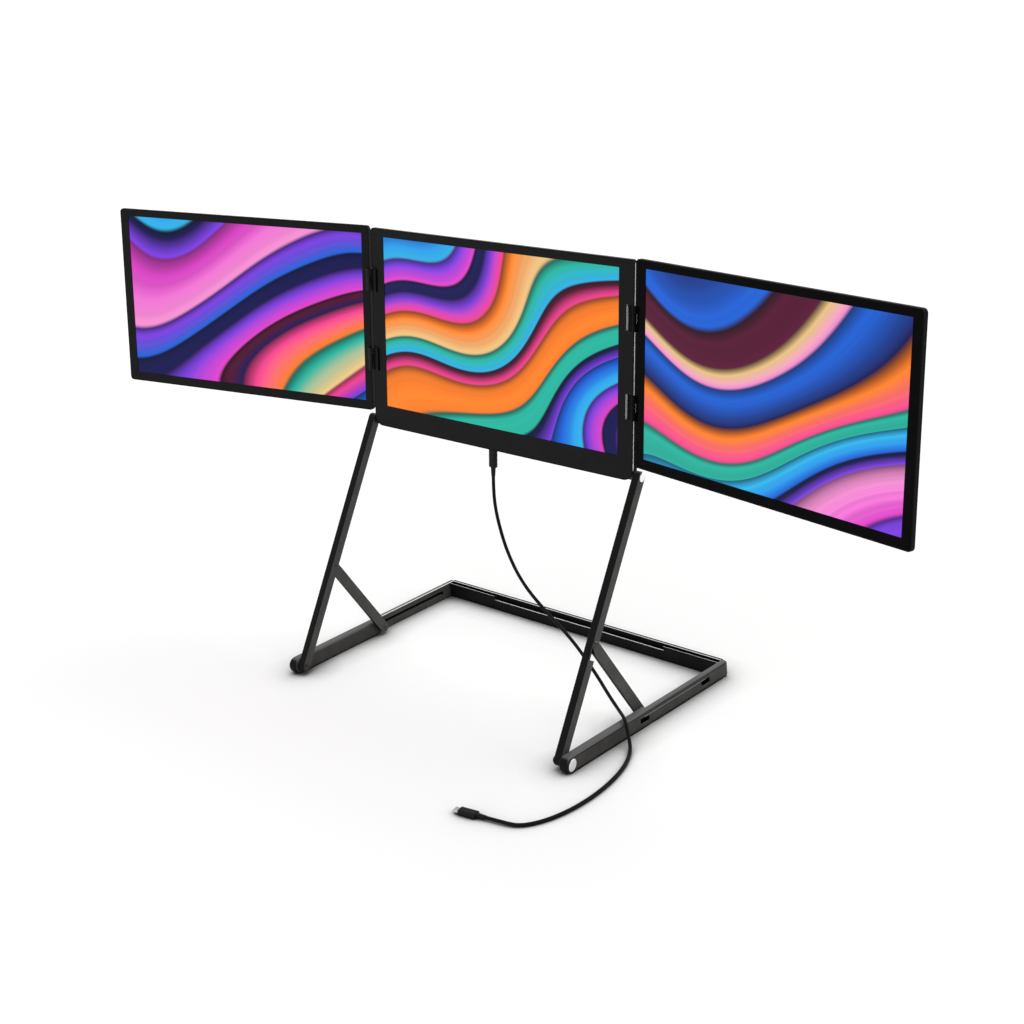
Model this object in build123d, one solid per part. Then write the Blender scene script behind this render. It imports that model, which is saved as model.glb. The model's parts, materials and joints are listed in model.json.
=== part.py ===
from build123d import *
import math
import os

# Laptop screen extender: three hinged screens on a folding stand. Millimetres, +Z up, +Y away from the viewer.
# The origin is on the table, under the middle of the rear cross rail.

# Screens
SCREEN_WIDTH = 344.2
SCREEN_HEIGHT = 193.6
PANEL_DEPTH = 6.4
SIDE_WALL_DEPTH = 4.2
BACK_TAPER_RUN = 5.5
BACK_FLOOR = 1.0
RIM = 1.2
BEZEL_DEPTH = 0.6
LCD_DEPTH = 1.3
LCD_OVERLAP = 2.0
BACKLIGHT_DEPTH = 1.8
PANEL_CORNER = 4.5

# Centre screen, measured from the middle of its lit area
CENTRE_SIDE_BEZEL = 20.2
CENTRE_TOP_BEZEL = 9.3
CENTRE_CHIN = 24.7
CHIN_CORNER = 12.0
CHIN_TOP_CORNER = 1.0
TAPER_BELOW_LIT_AREA = 8.0
CENTRE_LEAN = 6.7
CENTRE_HALF_WIDTH = SCREEN_WIDTH / 2 + CENTRE_SIDE_BEZEL
HALF_LIT_HEIGHT = SCREEN_HEIGHT / 2

# Wing screens
WING_TOP_BEZEL = 8.7
WING_BOTTOM_BEZEL = 10.8
WING_OUTER_BEZEL = 12.3
LEFT_INNER_BEZEL = 10.2
RIGHT_INNER_BEZEL = 14.2
WING_RISE = 2.2
LEFT_FOLD = 13.05
RIGHT_FOLD = 10.42
DRIVER_BOARD_LENGTH = 150.0
DRIVER_BOARD_WIDTH = 18.0
DRIVER_BOARD_MARGIN = 2.0

# Wing hinges: the left pair stands proud so that its wing folds over the right one
HINGE_HALF_GAP = 1.0
LEFT_HINGE_LIFT = 4.0
RIGHT_HINGE_LIFT = 0.6
UPPER_HINGE_BELOW_LIT_TOP = 49.8
LOWER_HINGE_ABOVE_LIT_BOTTOM = 52.5
HINGE_LENGTH = 26.0
HINGE_MIDDLE_KNUCKLE = 9.8
KNUCKLE_GAP = 0.2
KNUCKLE_RADIUS = 2.3
KNUCKLE_CLEARANCE = 0.15
HINGE_PIN_RADIUS = 1.0
POCKET_DEPTH = 3.0
POCKET_END_GAP = 0.2
CENTRE_POCKET_WIDTH = 10.0
WING_POCKET_WIDTH = 6.0
CENTRE_LEAF_WIDTH = 7.4
WEB_START = 0.3
WEB_END = 2.6
SUNK_LEAF_TOP = -1.4
RAISED_LEAF_TOP = 1.2
HINGE_HEIGHTS = (HALF_LIT_HEIGHT - UPPER_HINGE_BELOW_LIT_TOP, LOWER_HINGE_ABOVE_LIT_BOTTOM - HALF_LIT_HEIGHT)

# Stand: the arms stand just outside the centre screen
ARM_LENGTH = 300.5
ARM_ANGLE = 59.5
ARM_FOLDED_ANGLE = 16.0
ARM_WIDTH = 11.0
ARM_THICKNESS = 9.0
ARM_SIDE_GAP = 1.4
ARM_EDGE = 0.7
PIVOT_BEHIND_FACE = 3.5
PIVOT_BELOW_LIT_AREA = 18.6
ARM_INNER_X = CENTRE_HALF_WIDTH + ARM_SIDE_GAP
ARM_OUTER_X = ARM_INNER_X + ARM_THICKNESS
PIVOT_BELOW_MIDDLE = HALF_LIT_HEIGHT + PIVOT_BELOW_LIT_AREA

# Struts: each folds into a pocket in its arm
STRUT_UP_THE_ARM = 122.4
STRUT_LENGTH = 124.5
STRUT_WIDTH = 12.0
STRUT_THICKNESS = 4.5
STRUT_BEHIND_ARM_FACE = 1.2
STRUT_HEAD_RADIUS = 3.5
STRUT_UPPER_SHOULDER = 3.0
STRUT_LOWER_SHOULDER = 9.3
STRUT_OUTER_X = ARM_OUTER_X - STRUT_BEHIND_ARM_FACE
STRUT_INNER_X = STRUT_OUTER_X - STRUT_THICKNESS
ARM_POCKET_CLEARANCE = 0.4
ARM_POCKET_TOP = 4.5
ARM_POCKET_BOTTOM = 16.0
ARM_POCKET_FLOOR_X = STRUT_INNER_X - ARM_POCKET_CLEARANCE

# Base
RAIL_LENGTH = 263.0
RAIL_HEIGHT = 18.4
RAIL_SIDE_GAP = 0.6
RAIL_FRONT_THICKNESS = 11.8
RAIL_REAR_THICKNESS = 6.6
RAIL_STEP_BEFORE_FOOT = 3.3
RAIL_OUTER_EDGE = 3.0
RAIL_INNER_EDGE = 3.0
RAIL_REAR_INNER_EDGE = 0.6
RAIL_REAR_CORNER = 3.2
FOOT_PAD_DEPTH = 0.6
FOOT_PAD_LENGTH = 122.0
FOOT_PAD_INSET = 0.5
REAR_PAD_FROM_END = 9.0
MIDDLE_PAD_LENGTH = 60.0
MIDDLE_PAD_WIDTH = 6.4
CROSS_RAIL_DEPTH = 10.0
CROSS_RAIL_FRONT_EDGE = 1.0
CROSS_RAIL_END_DROP = 0.5
CROSS_RAIL_REAR_EDGE = 0.6
CROSS_RAIL_END_LENGTH = 76.5
CHANNEL_REAR_WALL = 3.6
CHANNEL_FRONT_WALL = 1.6
CHANNEL_FLOOR_Z = 2.6
CHANNEL_LIP_Z = 12.7
WINDOW_LENGTH = 14.6
WINDOW_HEIGHT = 6.4
FRONT_WINDOW_FROM_PIVOT = 116.9
REAR_WINDOW_FROM_PIVOT = 221.9
SLOT_HEIGHT = 5.2
SLOT_END_GAP = 0.4
SLOT_OUTER_WALL = 1.9
WINDOW_DEPTH = 1.3
SEAM_DEPTH = 0.5
SEAM_HEIGHT = 1.0
TONGUE_OUTER_WALL = 2.0
TONGUE_TOP_Z = 5.6
TONGUE_HALF_DEPTH = 3.5
CORNER_SCREW_HEAD_RADIUS = 2.2
CORNER_SCREW_HEAD_DEPTH = 1.4
CORNER_SCREW_RADIUS = 1.25
CORNER_SCREW_TOP_Z = 12.5
RAIL_FRONT_INNER_X = ARM_OUTER_X + RAIL_SIDE_GAP
RAIL_OUTER_X = RAIL_FRONT_INNER_X + RAIL_FRONT_THICKNESS
RAIL_REAR_INNER_X = RAIL_OUTER_X - RAIL_REAR_THICKNESS
SLOT_END_X = RAIL_OUTER_X - SLOT_OUTER_WALL
FOOT_PIN_END_X = SLOT_END_X - SLOT_END_GAP
TONGUE_X = RAIL_OUTER_X - TONGUE_OUTER_WALL
CORNER_SCREW_X = (RAIL_REAR_INNER_X + TONGUE_X) / 2
LOWER_PIVOT_Y = CROSS_RAIL_DEPTH / 2 - RAIL_LENGTH
LOWER_PIVOT_Z = RAIL_HEIGHT / 2

# Pins and caps
RUNNING_CLEARANCE = 0.05
LOWER_PIN_RADIUS = 2.5
LOWER_PIN_HEAD_RADIUS = 4.2
LOWER_PIN_HEAD_DEPTH = 1.2
LOWER_CAP_LENGTH = 14.0
LOWER_CAP_DEPTH = 0.9
TILT_PIN_RADIUS = 1.8
TILT_PIN_REACH = 17.7
TILT_PIN_END_GAP = 0.5
UPPER_CAP_LENGTH = 10.6
UPPER_CAP_DEPTH = 0.7
CAP_SLIMNESS = 0.74
CAP_EDGE = 0.4
WASHER_RADIUS = 4.4
WASHER_DEPTH = 1.0
STRUT_PIN_RADIUS = 2.0
STRUT_PIN_HEAD_RADIUS = 3.2
PIN_SIDE_GAP = 0.3
TILT_PIN_END_X = ARM_INNER_X - TILT_PIN_REACH

# Tilt hinge brackets in the lower corners of the centre screen
BRACKET_WIDTH = 22.3
BRACKET_HALF_HEIGHT = 4.6
BRACKET_FRONT_DEPTH = 0.9
BRACKET_BACK_DEPTH = 6.9
HUMP_DEPTH = 8.3
HUMP_WIDTH = 27.3
HUMP_TOP = 15.0
HUMP_CORNER = 2.0
HUMP_EDGE = 0.8
BRACKET_INNER_X = CENTRE_HALF_WIDTH - BRACKET_WIDTH
HUMP_INNER_X = CENTRE_HALF_WIDTH - HUMP_WIDTH

# Parts inside the centre screen's chin
CHIN_CAVITY_END_GAP = 2.0
CHIN_WALL = 4.0
CHIN_CAVITY_BELOW_LIT_AREA = 3.8
BOARD_DEPTH = 1.1
BOARD_MARGIN = 1.0
MAIN_BOARD_LEFT_GAP = 19.0
MAIN_BOARD_RIGHT_GAP = 28.0
CHIP_DEPTH = 1.0
CHIP_LENGTH = 9.4
CHIPS = ((57.0, 14.0), (86.0, 12.0), (120.0, 9.0))
SPEAKER_LENGTH = 36.0
SPEAKER_END_GAP = 3.0
SPEAKER_DEPTH = 3.4
SPEAKER_CORNER = 3.0
PORT_X = -7.3
PORT_SPACING = 17.0
PORT_WIDTH = 9.2
PORT_HEIGHT = 3.4
PORT_LENGTH = 8.4
PORT_MIDDLE_DEPTH = 3.2
PORT_MOUTH_WIDTH = 8.5
PORT_MOUTH_HEIGHT = 2.7
PORT_MOUTH_LENGTH = 7.4
PORT_TONGUE_WIDTH = 6.4
PORT_TONGUE_DEPTH = 0.7
PORT_TONGUE_START = 1.8
PORT_BOARD_GAP = 0.4
BUTTON_FROM_SIDE = 80.3
BUTTON_SPACING = 12.0
BUTTON_BELOW_LIT_AREA = 12.2
BUTTON_RADIUS = 3.0
BUTTON_HOLE_RADIUS = 3.3
BUTTON_FLANGE_RADIUS = 3.9
BUTTON_FLANGE_DEPTH = 0.6
BUTTON_FLANGE_GAP = 0.1
BUTTON_BACK = 7.1
BUTTON_EDGE = 0.3
BUTTON_BOARD_MARGIN = 7.0
BUTTON_BOARD_DEPTH = 1.8
SWITCH_RADIUS = 1.5
SWITCH_GAP = 0.8
SCREW_HEAD_RADIUS = 1.3
SCREW_HEAD_DEPTH = 0.9
SCREW_SHANK_RADIUS = 0.8
SCREW_SHANK_LENGTH = 2.5
SCREW_INSET = 7.0
SCREW_FROM_END = 12.0
CENTRE_LOWER_SCREW = 18.8
CHIN_CAVITY_HALF_WIDTH = HUMP_INNER_X - CHIN_CAVITY_END_GAP
CHIN_CAVITY_BOTTOM = CHIN_WALL - HALF_LIT_HEIGHT - CENTRE_CHIN
CHIN_CAVITY_TOP = -HALF_LIT_HEIGHT - CHIN_CAVITY_BELOW_LIT_AREA
BUTTON_Y = -HALF_LIT_HEIGHT - BUTTON_BELOW_LIT_AREA
BUTTON_XS = [BUTTON_FROM_SIDE - CENTRE_HALF_WIDTH + BUTTON_SPACING * number for number in range(3)]
PORT_XS = [PORT_X - PORT_SPACING * number for number in range(3)]

# USB-C cable: the route is measured across from the port or from the right rail's outer face,
# and along the table from the arms' lower pivots
CABLE_RADIUS = 1.9
PLUG_WIDTH = 10.5
PLUG_THICKNESS = 6.0
PLUG_LENGTH = 20.0
PLUG_CORNER = 2.8
PLUG_EDGE = 1.0
RELIEF_LENGTH = 10.0
RELIEF_START_RADIUS = 2.8
RELIEF_END_RADIUS = 2.2
PLUG_SHELL_WIDTH = 8.3
PLUG_SHELL_THICKNESS = 2.5
PLUG_SHELL_LENGTH = 6.6
PLUG_SHELL_WALL = 0.4
PLUG_SHELL_FLOOR = 0.6
CABLE_END_GAP = 0.3
ROUTE_FROM_PORT = (
    (0.0, 145.7, 212.5),
    (2.8, 144.5, 186.5),
    (14.8, 142.5, 148.5),
    (38.3, 139.0, 115.5),
    (76.3, 133.0, 92.5),
)
ROUTE_FROM_RAIL = (
    (-103.1, 125.5, 72.5),
    (-65.1, 115.5, 48.5),
    (-39.1, 107.5, 29.5),
    (-19.1, 98.0, 23.2),
    (-0.6, 85.5, 24.0),
    (9.9, 77.5, 11.0),
    (21.9, 66.0, 2.0),
    (35.9, 40.0, 2.0),
    (44.9, 9.0, 2.0),
    (49.4, -27.0, 2.0),
    (47.4, -63.0, 2.0),
    (39.4, -91.0, 2.0),
    (26.4, -109.5, 2.0),
)
CABLE_LAST_RUN = 21.5
LAPTOP_PLUG_INSIDE_RAIL = 10.6
LAPTOP_PLUG_BEFORE_PIVOT = 118.0
LAPTOP_PLUG_Z = 3.1
LAPTOP_PLUG_TURN = 9.0

os.makedirs("parts", exist_ok=True)


def save(name, *solids):
    """Write one node; several solids make a group."""
    shape = solids[0] if len(solids) == 1 else Compound(children=list(solids))
    export_step(shape, f"parts/{name}.step")


def mirrored(solid):
    return mirror(solid, about=Plane.YZ)


def save_pair(name, solid):
    """Write the right-hand solid and its mirror image as two nodes."""
    save(name + "_right", solid)
    save(name + "_left", mirrored(solid))


def block(x_range, y_range, z_range):
    sizes = [abs(high - low) for low, high in (x_range, y_range, z_range)]
    middle = [(low + high) / 2 for low, high in (x_range, y_range, z_range)]
    return Pos(*middle) * Box(*sizes)


def cylinder_along_x(radius, x_low, x_high, y, z):
    return Pos((x_low + x_high) / 2, y, z) * Rot(0, 90, 0) * Cylinder(radius, x_high - x_low)


def cylinder_along_y(radius, y_low, y_high, x, z):
    return Pos(x, (y_low + y_high) / 2, z) * Rot(90, 0, 0) * Cylinder(radius, y_high - y_low)


def cylinder_along_z(radius, z_low, z_high, x, y):
    return Pos(x, y, (z_low + z_high) / 2) * Cylinder(radius, z_high - z_low)


# Places in the stand's side plane
arm_rise = math.radians(ARM_ANGLE)
TILT_Y = LOWER_PIVOT_Y + ARM_LENGTH * math.cos(arm_rise)
TILT_Z = LOWER_PIVOT_Z + ARM_LENGTH * math.sin(arm_rise)
STRUT_PIVOT_Y = LOWER_PIVOT_Y + STRUT_UP_THE_ARM * math.cos(arm_rise)
STRUT_PIVOT_Z = LOWER_PIVOT_Z + STRUT_UP_THE_ARM * math.sin(arm_rise)


def strut_slope(arm_angle):
    """Angle between strut and table, with the strut's foot as high as the arm's pivot."""
    return math.degrees(math.asin(STRUT_UP_THE_ARM * math.sin(math.radians(arm_angle)) / STRUT_LENGTH))


def foot_place(arm_angle):
    """Where the strut's foot is along the rail."""
    along_arm = STRUT_UP_THE_ARM * math.cos(math.radians(arm_angle))
    return LOWER_PIVOT_Y + along_arm + STRUT_LENGTH * math.cos(math.radians(strut_slope(arm_angle)))


STRUT_ANGLE = strut_slope(ARM_ANGLE)
FOLDED_TURN = ARM_FOLDED_ANGLE + strut_slope(ARM_FOLDED_ANGLE)
FOOT_Y = foot_place(ARM_ANGLE)

# The centre screen's plane: x across, y up the screen, z out of its face
lean = math.radians(CENTRE_LEAN)
face_normal = Vector(0, -math.cos(lean), math.sin(lean))
face_up = Vector(0, math.sin(lean), math.cos(lean))
screen_middle = Vector(0, TILT_Y, TILT_Z) + face_up * PIVOT_BELOW_MIDDLE + face_normal * PIVOT_BEHIND_FACE
centre_place = Plane(origin=screen_middle, x_dir=(1, 0, 0), z_dir=face_normal).location
HINGE_X = CENTRE_HALF_WIDTH + HINGE_HALF_GAP
right_place = centre_place * Pos(HINGE_X, 0, RIGHT_HINGE_LIFT) * Rot(0, -RIGHT_FOLD, 0)
left_place = centre_place * Pos(-HINGE_X, 0, LEFT_HINGE_LIFT) * Rot(0, LEFT_FOLD, 0)


# ---------------------------------------------------------------- screens
def outline(x_range, y_range, top_corner, bottom_corner):
    """Rectangle with its own radius on the upper and on the lower corners."""
    width = x_range[1] - x_range[0]
    height = y_range[1] - y_range[0]
    sheet = Pos(sum(x_range) / 2, sum(y_range) / 2) * Rectangle(width, height)
    sheet = fillet(sheet.vertices().sort_by(Axis.Y)[2:], top_corner)
    return fillet(sheet.vertices().sort_by(Axis.Y)[:2], bottom_corner)


def inset(span, amount):
    return (span[0] + amount, span[1] - amount)


def slab(sheet, z_low, z_high):
    return extrude(Pos(0, 0, z_low) * sheet, z_high - z_low)


def tapered_back(x_range, y_range, z_face):
    """Back of a screen: a short straight wall, then a taper to the full depth."""
    wide = outline(x_range, y_range, PANEL_CORNER, PANEL_CORNER)
    narrow_x = inset(x_range, BACK_TAPER_RUN)
    narrow_y = inset(y_range, BACK_TAPER_RUN)
    narrow = outline(narrow_x, narrow_y, PANEL_CORNER, PANEL_CORNER)
    wall = slab(wide, z_face - SIDE_WALL_DEPTH, z_face)
    start = Pos(0, 0, z_face - SIDE_WALL_DEPTH) * wide
    end = Pos(0, 0, z_face - PANEL_DEPTH) * narrow
    return wall + loft([start, end], ruled=True)


def lit_span(middle, size, extra):
    return (middle - size / 2 - extra, middle + size / 2 + extra)


def screen_stack(x_middle, y_middle, z_face):
    """Liquid-crystal panel, backlight plate and the room both of them take in the cover."""
    x_range = lit_span(x_middle, SCREEN_WIDTH, LCD_OVERLAP)
    y_range = lit_span(y_middle, SCREEN_HEIGHT, LCD_OVERLAP)
    lcd_back = z_face - BEZEL_DEPTH - LCD_DEPTH
    lcd = block(x_range, y_range, (lcd_back, z_face - BEZEL_DEPTH))
    backlight = block(x_range, y_range, (lcd_back - BACKLIGHT_DEPTH, lcd_back))
    room = block(x_range, y_range, (z_face - PANEL_DEPTH + BACK_FLOOR, z_face))
    return lcd, backlight, room


def bezel(x_range, y_range, top_corner, bottom_corner, x_middle, y_middle, z_face):
    """Thin frame set into the rim of the cover, around the lit area."""
    sheet = outline(inset(x_range, RIM), inset(y_range, RIM), top_corner - RIM, bottom_corner - RIM)
    plate = slab(sheet, z_face - BEZEL_DEPTH, z_face)
    x_lit = lit_span(x_middle, SCREEN_WIDTH, 0)
    y_lit = lit_span(y_middle, SCREEN_HEIGHT, 0)
    window = block(x_lit, y_lit, (z_face - BEZEL_DEPTH - 1, z_face + 1))
    return plate, plate - window


def back_screws(x_range, y_levels, z_face):
    """Small flush screws along both side margins of a cover."""
    screws = []
    back = z_face - PANEL_DEPTH
    for x in inset(x_range, SCREW_INSET):
        for y in y_levels:
            neck = back + SCREW_HEAD_DEPTH
            head = cylinder_along_z(SCREW_HEAD_RADIUS, back, neck, x, y)
            shank = cylinder_along_z(SCREW_SHANK_RADIUS, neck, neck + SCREW_SHANK_LENGTH, x, y)
            screws.append(head + shank)
    return screws


def hinge_segments(is_middle):
    """Spans along the hinge axis that one leaf's knuckles take."""
    half = HINGE_MIDDLE_KNUCKLE / 2
    end = HINGE_LENGTH / 2
    if is_middle:
        return [(-half, half)]
    return [(-end, -half - KNUCKLE_GAP), (half + KNUCKLE_GAP, end)]


def hinge_leaf(direction, plate_width, plate_top, lift, is_middle, bore_radius):
    """One leaf about a hinge axis along y through the origin; direction is the side its plate lies on."""
    floor = -POCKET_DEPTH - lift
    half_length = HINGE_LENGTH / 2
    edge = direction * HINGE_HALF_GAP
    plate_x = sorted((edge, edge + direction * plate_width))
    leaf = block(plate_x, (-half_length, half_length), (floor, plate_top - lift))
    for low, high in hinge_segments(not is_middle):
        reach = KNUCKLE_RADIUS + KNUCKLE_CLEARANCE
        leaf -= cylinder_along_y(reach, low - KNUCKLE_GAP, high + KNUCKLE_GAP, 0, 0)
    for low, high in hinge_segments(is_middle):
        web_x = sorted((direction * WEB_START, direction * WEB_END))
        leaf += block(web_x, (low, high), (floor, 0))
        leaf += cylinder_along_y(KNUCKLE_RADIUS, low, high, 0, 0)
        leaf -= cylinder_along_y(bore_radius, low, high, 0, 0)
    return leaf


def hinge_pockets(x_edge, direction, width, z_face):
    """Recesses in a screen's edge that take the hinge leaves."""
    pockets = []
    half_length = HINGE_LENGTH / 2 + POCKET_END_GAP
    x_range = sorted((x_edge - direction, x_edge + direction * width))
    for y in HINGE_HEIGHTS:
        span = (y - half_length, y + half_length)
        pockets.append(block(x_range, span, (z_face - POCKET_DEPTH, z_face + 5)))
    return pockets


def wing_hinge(side, lift, centre_top, wing_top):
    """Centre leaves, wing leaves and pins of one pair, about the hinge axis."""
    running = HINGE_PIN_RADIUS + RUNNING_CLEARANCE
    half_length = HINGE_LENGTH / 2
    centre_leaf = hinge_leaf(-side, CENTRE_LEAF_WIDTH, centre_top, lift, True, HINGE_PIN_RADIUS)
    wing_leaf = hinge_leaf(side, WING_POCKET_WIDTH, wing_top, lift, False, running)
    pin = cylinder_along_y(HINGE_PIN_RADIUS, -half_length, half_length, 0, 0)
    places = [Pos(0, y, 0) for y in HINGE_HEIGHTS]
    return [[place * solid for place in places] for solid in (centre_leaf, wing_leaf, pin)]


def wing(side, name, place, inner_bezel, lift, leaves):
    """One wing screen, drawn about its hinge axis and put in place."""
    z_face = -lift
    inner_x = side * HINGE_HALF_GAP
    outer_x = inner_x + side * (inner_bezel + SCREEN_WIDTH + WING_OUTER_BEZEL)
    x_range = tuple(sorted((inner_x, outer_x)))
    x_middle = inner_x + side * (inner_bezel + SCREEN_WIDTH / 2)
    y_lit = lit_span(WING_RISE, SCREEN_HEIGHT, 0)
    y_range = (y_lit[0] - WING_BOTTOM_BEZEL, y_lit[1] + WING_TOP_BEZEL)
    lcd, backlight, room = screen_stack(x_middle, WING_RISE, z_face)
    plate, frame = bezel(x_range, y_range, PANEL_CORNER, PANEL_CORNER, x_middle, WING_RISE, z_face)
    cover = tapered_back(x_range, y_range, z_face) - plate - room
    for pocket in hinge_pockets(inner_x, side, WING_POCKET_WIDTH, z_face):
        cover -= pocket
        frame -= pocket
    screw_ends = inset(y_range, SCREW_FROM_END)
    screws = back_screws(x_range, (screw_ends[0], WING_RISE, screw_ends[1]), z_face)
    for screw in screws:
        cover -= screw
    board_back = z_face - PANEL_DEPTH + BACK_FLOOR
    board_x = (x_middle - DRIVER_BOARD_LENGTH / 2, x_middle + DRIVER_BOARD_LENGTH / 2)
    board_bottom = y_lit[0] + DRIVER_BOARD_MARGIN
    board_y = (board_bottom, board_bottom + DRIVER_BOARD_WIDTH)
    board = block(board_x, board_y, (board_back, board_back + BOARD_DEPTH))
    save(f"{name}_wing_back_cover", place * cover)
    save(f"{name}_wing_bezel", place * frame)
    save(f"{name}_wing_lcd", place * lcd)
    save(f"{name}_wing_backlight", place * backlight)
    save(f"{name}_wing_driver_board", place * board)
    save(f"{name}_wing_hinge_leaves", *[place * leaf for leaf in leaves])
    save(f"{name}_wing_screws", *[place * screw for screw in screws])


def pill(width, height, length):
    """Bar with a rounded oblong section, along +y from the origin."""
    sheet = SlotOverall(width, height)
    return Rot(-90, 0, 0) * extrude(sheet, length)


def port_shell():
    """Metal receptacle with a mouth towards -y; its open end is at the origin."""
    half_width = PORT_TONGUE_WIDTH / 2
    half_depth = PORT_TONGUE_DEPTH / 2
    tongue = block((-half_width, half_width), (PORT_TONGUE_START, PORT_MOUTH_LENGTH), (-half_depth, half_depth))
    shell = pill(PORT_WIDTH, PORT_HEIGHT, PORT_LENGTH)
    return shell - pill(PORT_MOUTH_WIDTH, PORT_MOUTH_HEIGHT, PORT_MOUTH_LENGTH), tongue


def button_parts(x):
    """Button cap with its flange inside the cover, and the switch it presses."""
    neck = -PANEL_DEPTH + BACK_FLOOR + BUTTON_FLANGE_GAP
    flange_top = neck + BUTTON_FLANGE_DEPTH
    cap = cylinder_along_z(BUTTON_RADIUS, -BUTTON_BACK, neck, x, BUTTON_Y)
    cap = chamfer(cap.edges().sort_by(Axis.Z)[0], BUTTON_EDGE)
    cap += cylinder_along_z(BUTTON_FLANGE_RADIUS, neck, flange_top, x, BUTTON_Y)
    switch_top = -BEZEL_DEPTH - BUTTON_BOARD_DEPTH
    switch = cylinder_along_z(SWITCH_RADIUS, flange_top + SWITCH_GAP, switch_top, x, BUTTON_Y)
    return cap, switch


def tilt_bracket():
    """Steel block in a lower corner that turns on the arm's pin."""
    y_range = (-PIVOT_BELOW_MIDDLE - BRACKET_HALF_HEIGHT, -PIVOT_BELOW_MIDDLE + BRACKET_HALF_HEIGHT)
    body = block((BRACKET_INNER_X, CENTRE_HALF_WIDTH), y_range, (-BRACKET_BACK_DEPTH, -BRACKET_FRONT_DEPTH))
    radius = TILT_PIN_RADIUS + RUNNING_CLEARANCE
    bore_x = (TILT_PIN_END_X - TILT_PIN_END_GAP, CENTRE_HALF_WIDTH + 1)
    bore = cylinder_along_x(radius, *bore_x, -PIVOT_BELOW_MIDDLE, -PIVOT_BEHIND_FACE)
    return body, body - bore


def corner_hump(bottom):
    """Thicker lower corner of the cover around the tilt bracket."""
    width = CENTRE_HALF_WIDTH - HUMP_INNER_X
    sheet = Pos(HUMP_INNER_X + width / 2, bottom + HUMP_TOP / 2) * Rectangle(width, HUMP_TOP)
    sheet = fillet(sheet.vertices().sort_by(Axis.Y)[2:], HUMP_CORNER)
    outer_bottom = sheet.vertices().sort_by(Axis.Y)[:2].sort_by(Axis.X)[-1]
    hump = slab(fillet(outer_bottom, CHIN_CORNER), -HUMP_DEPTH, -SIDE_WALL_DEPTH)
    return chamfer(hump.faces().sort_by(Axis.Z)[0].edges(), HUMP_EDGE)


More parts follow.
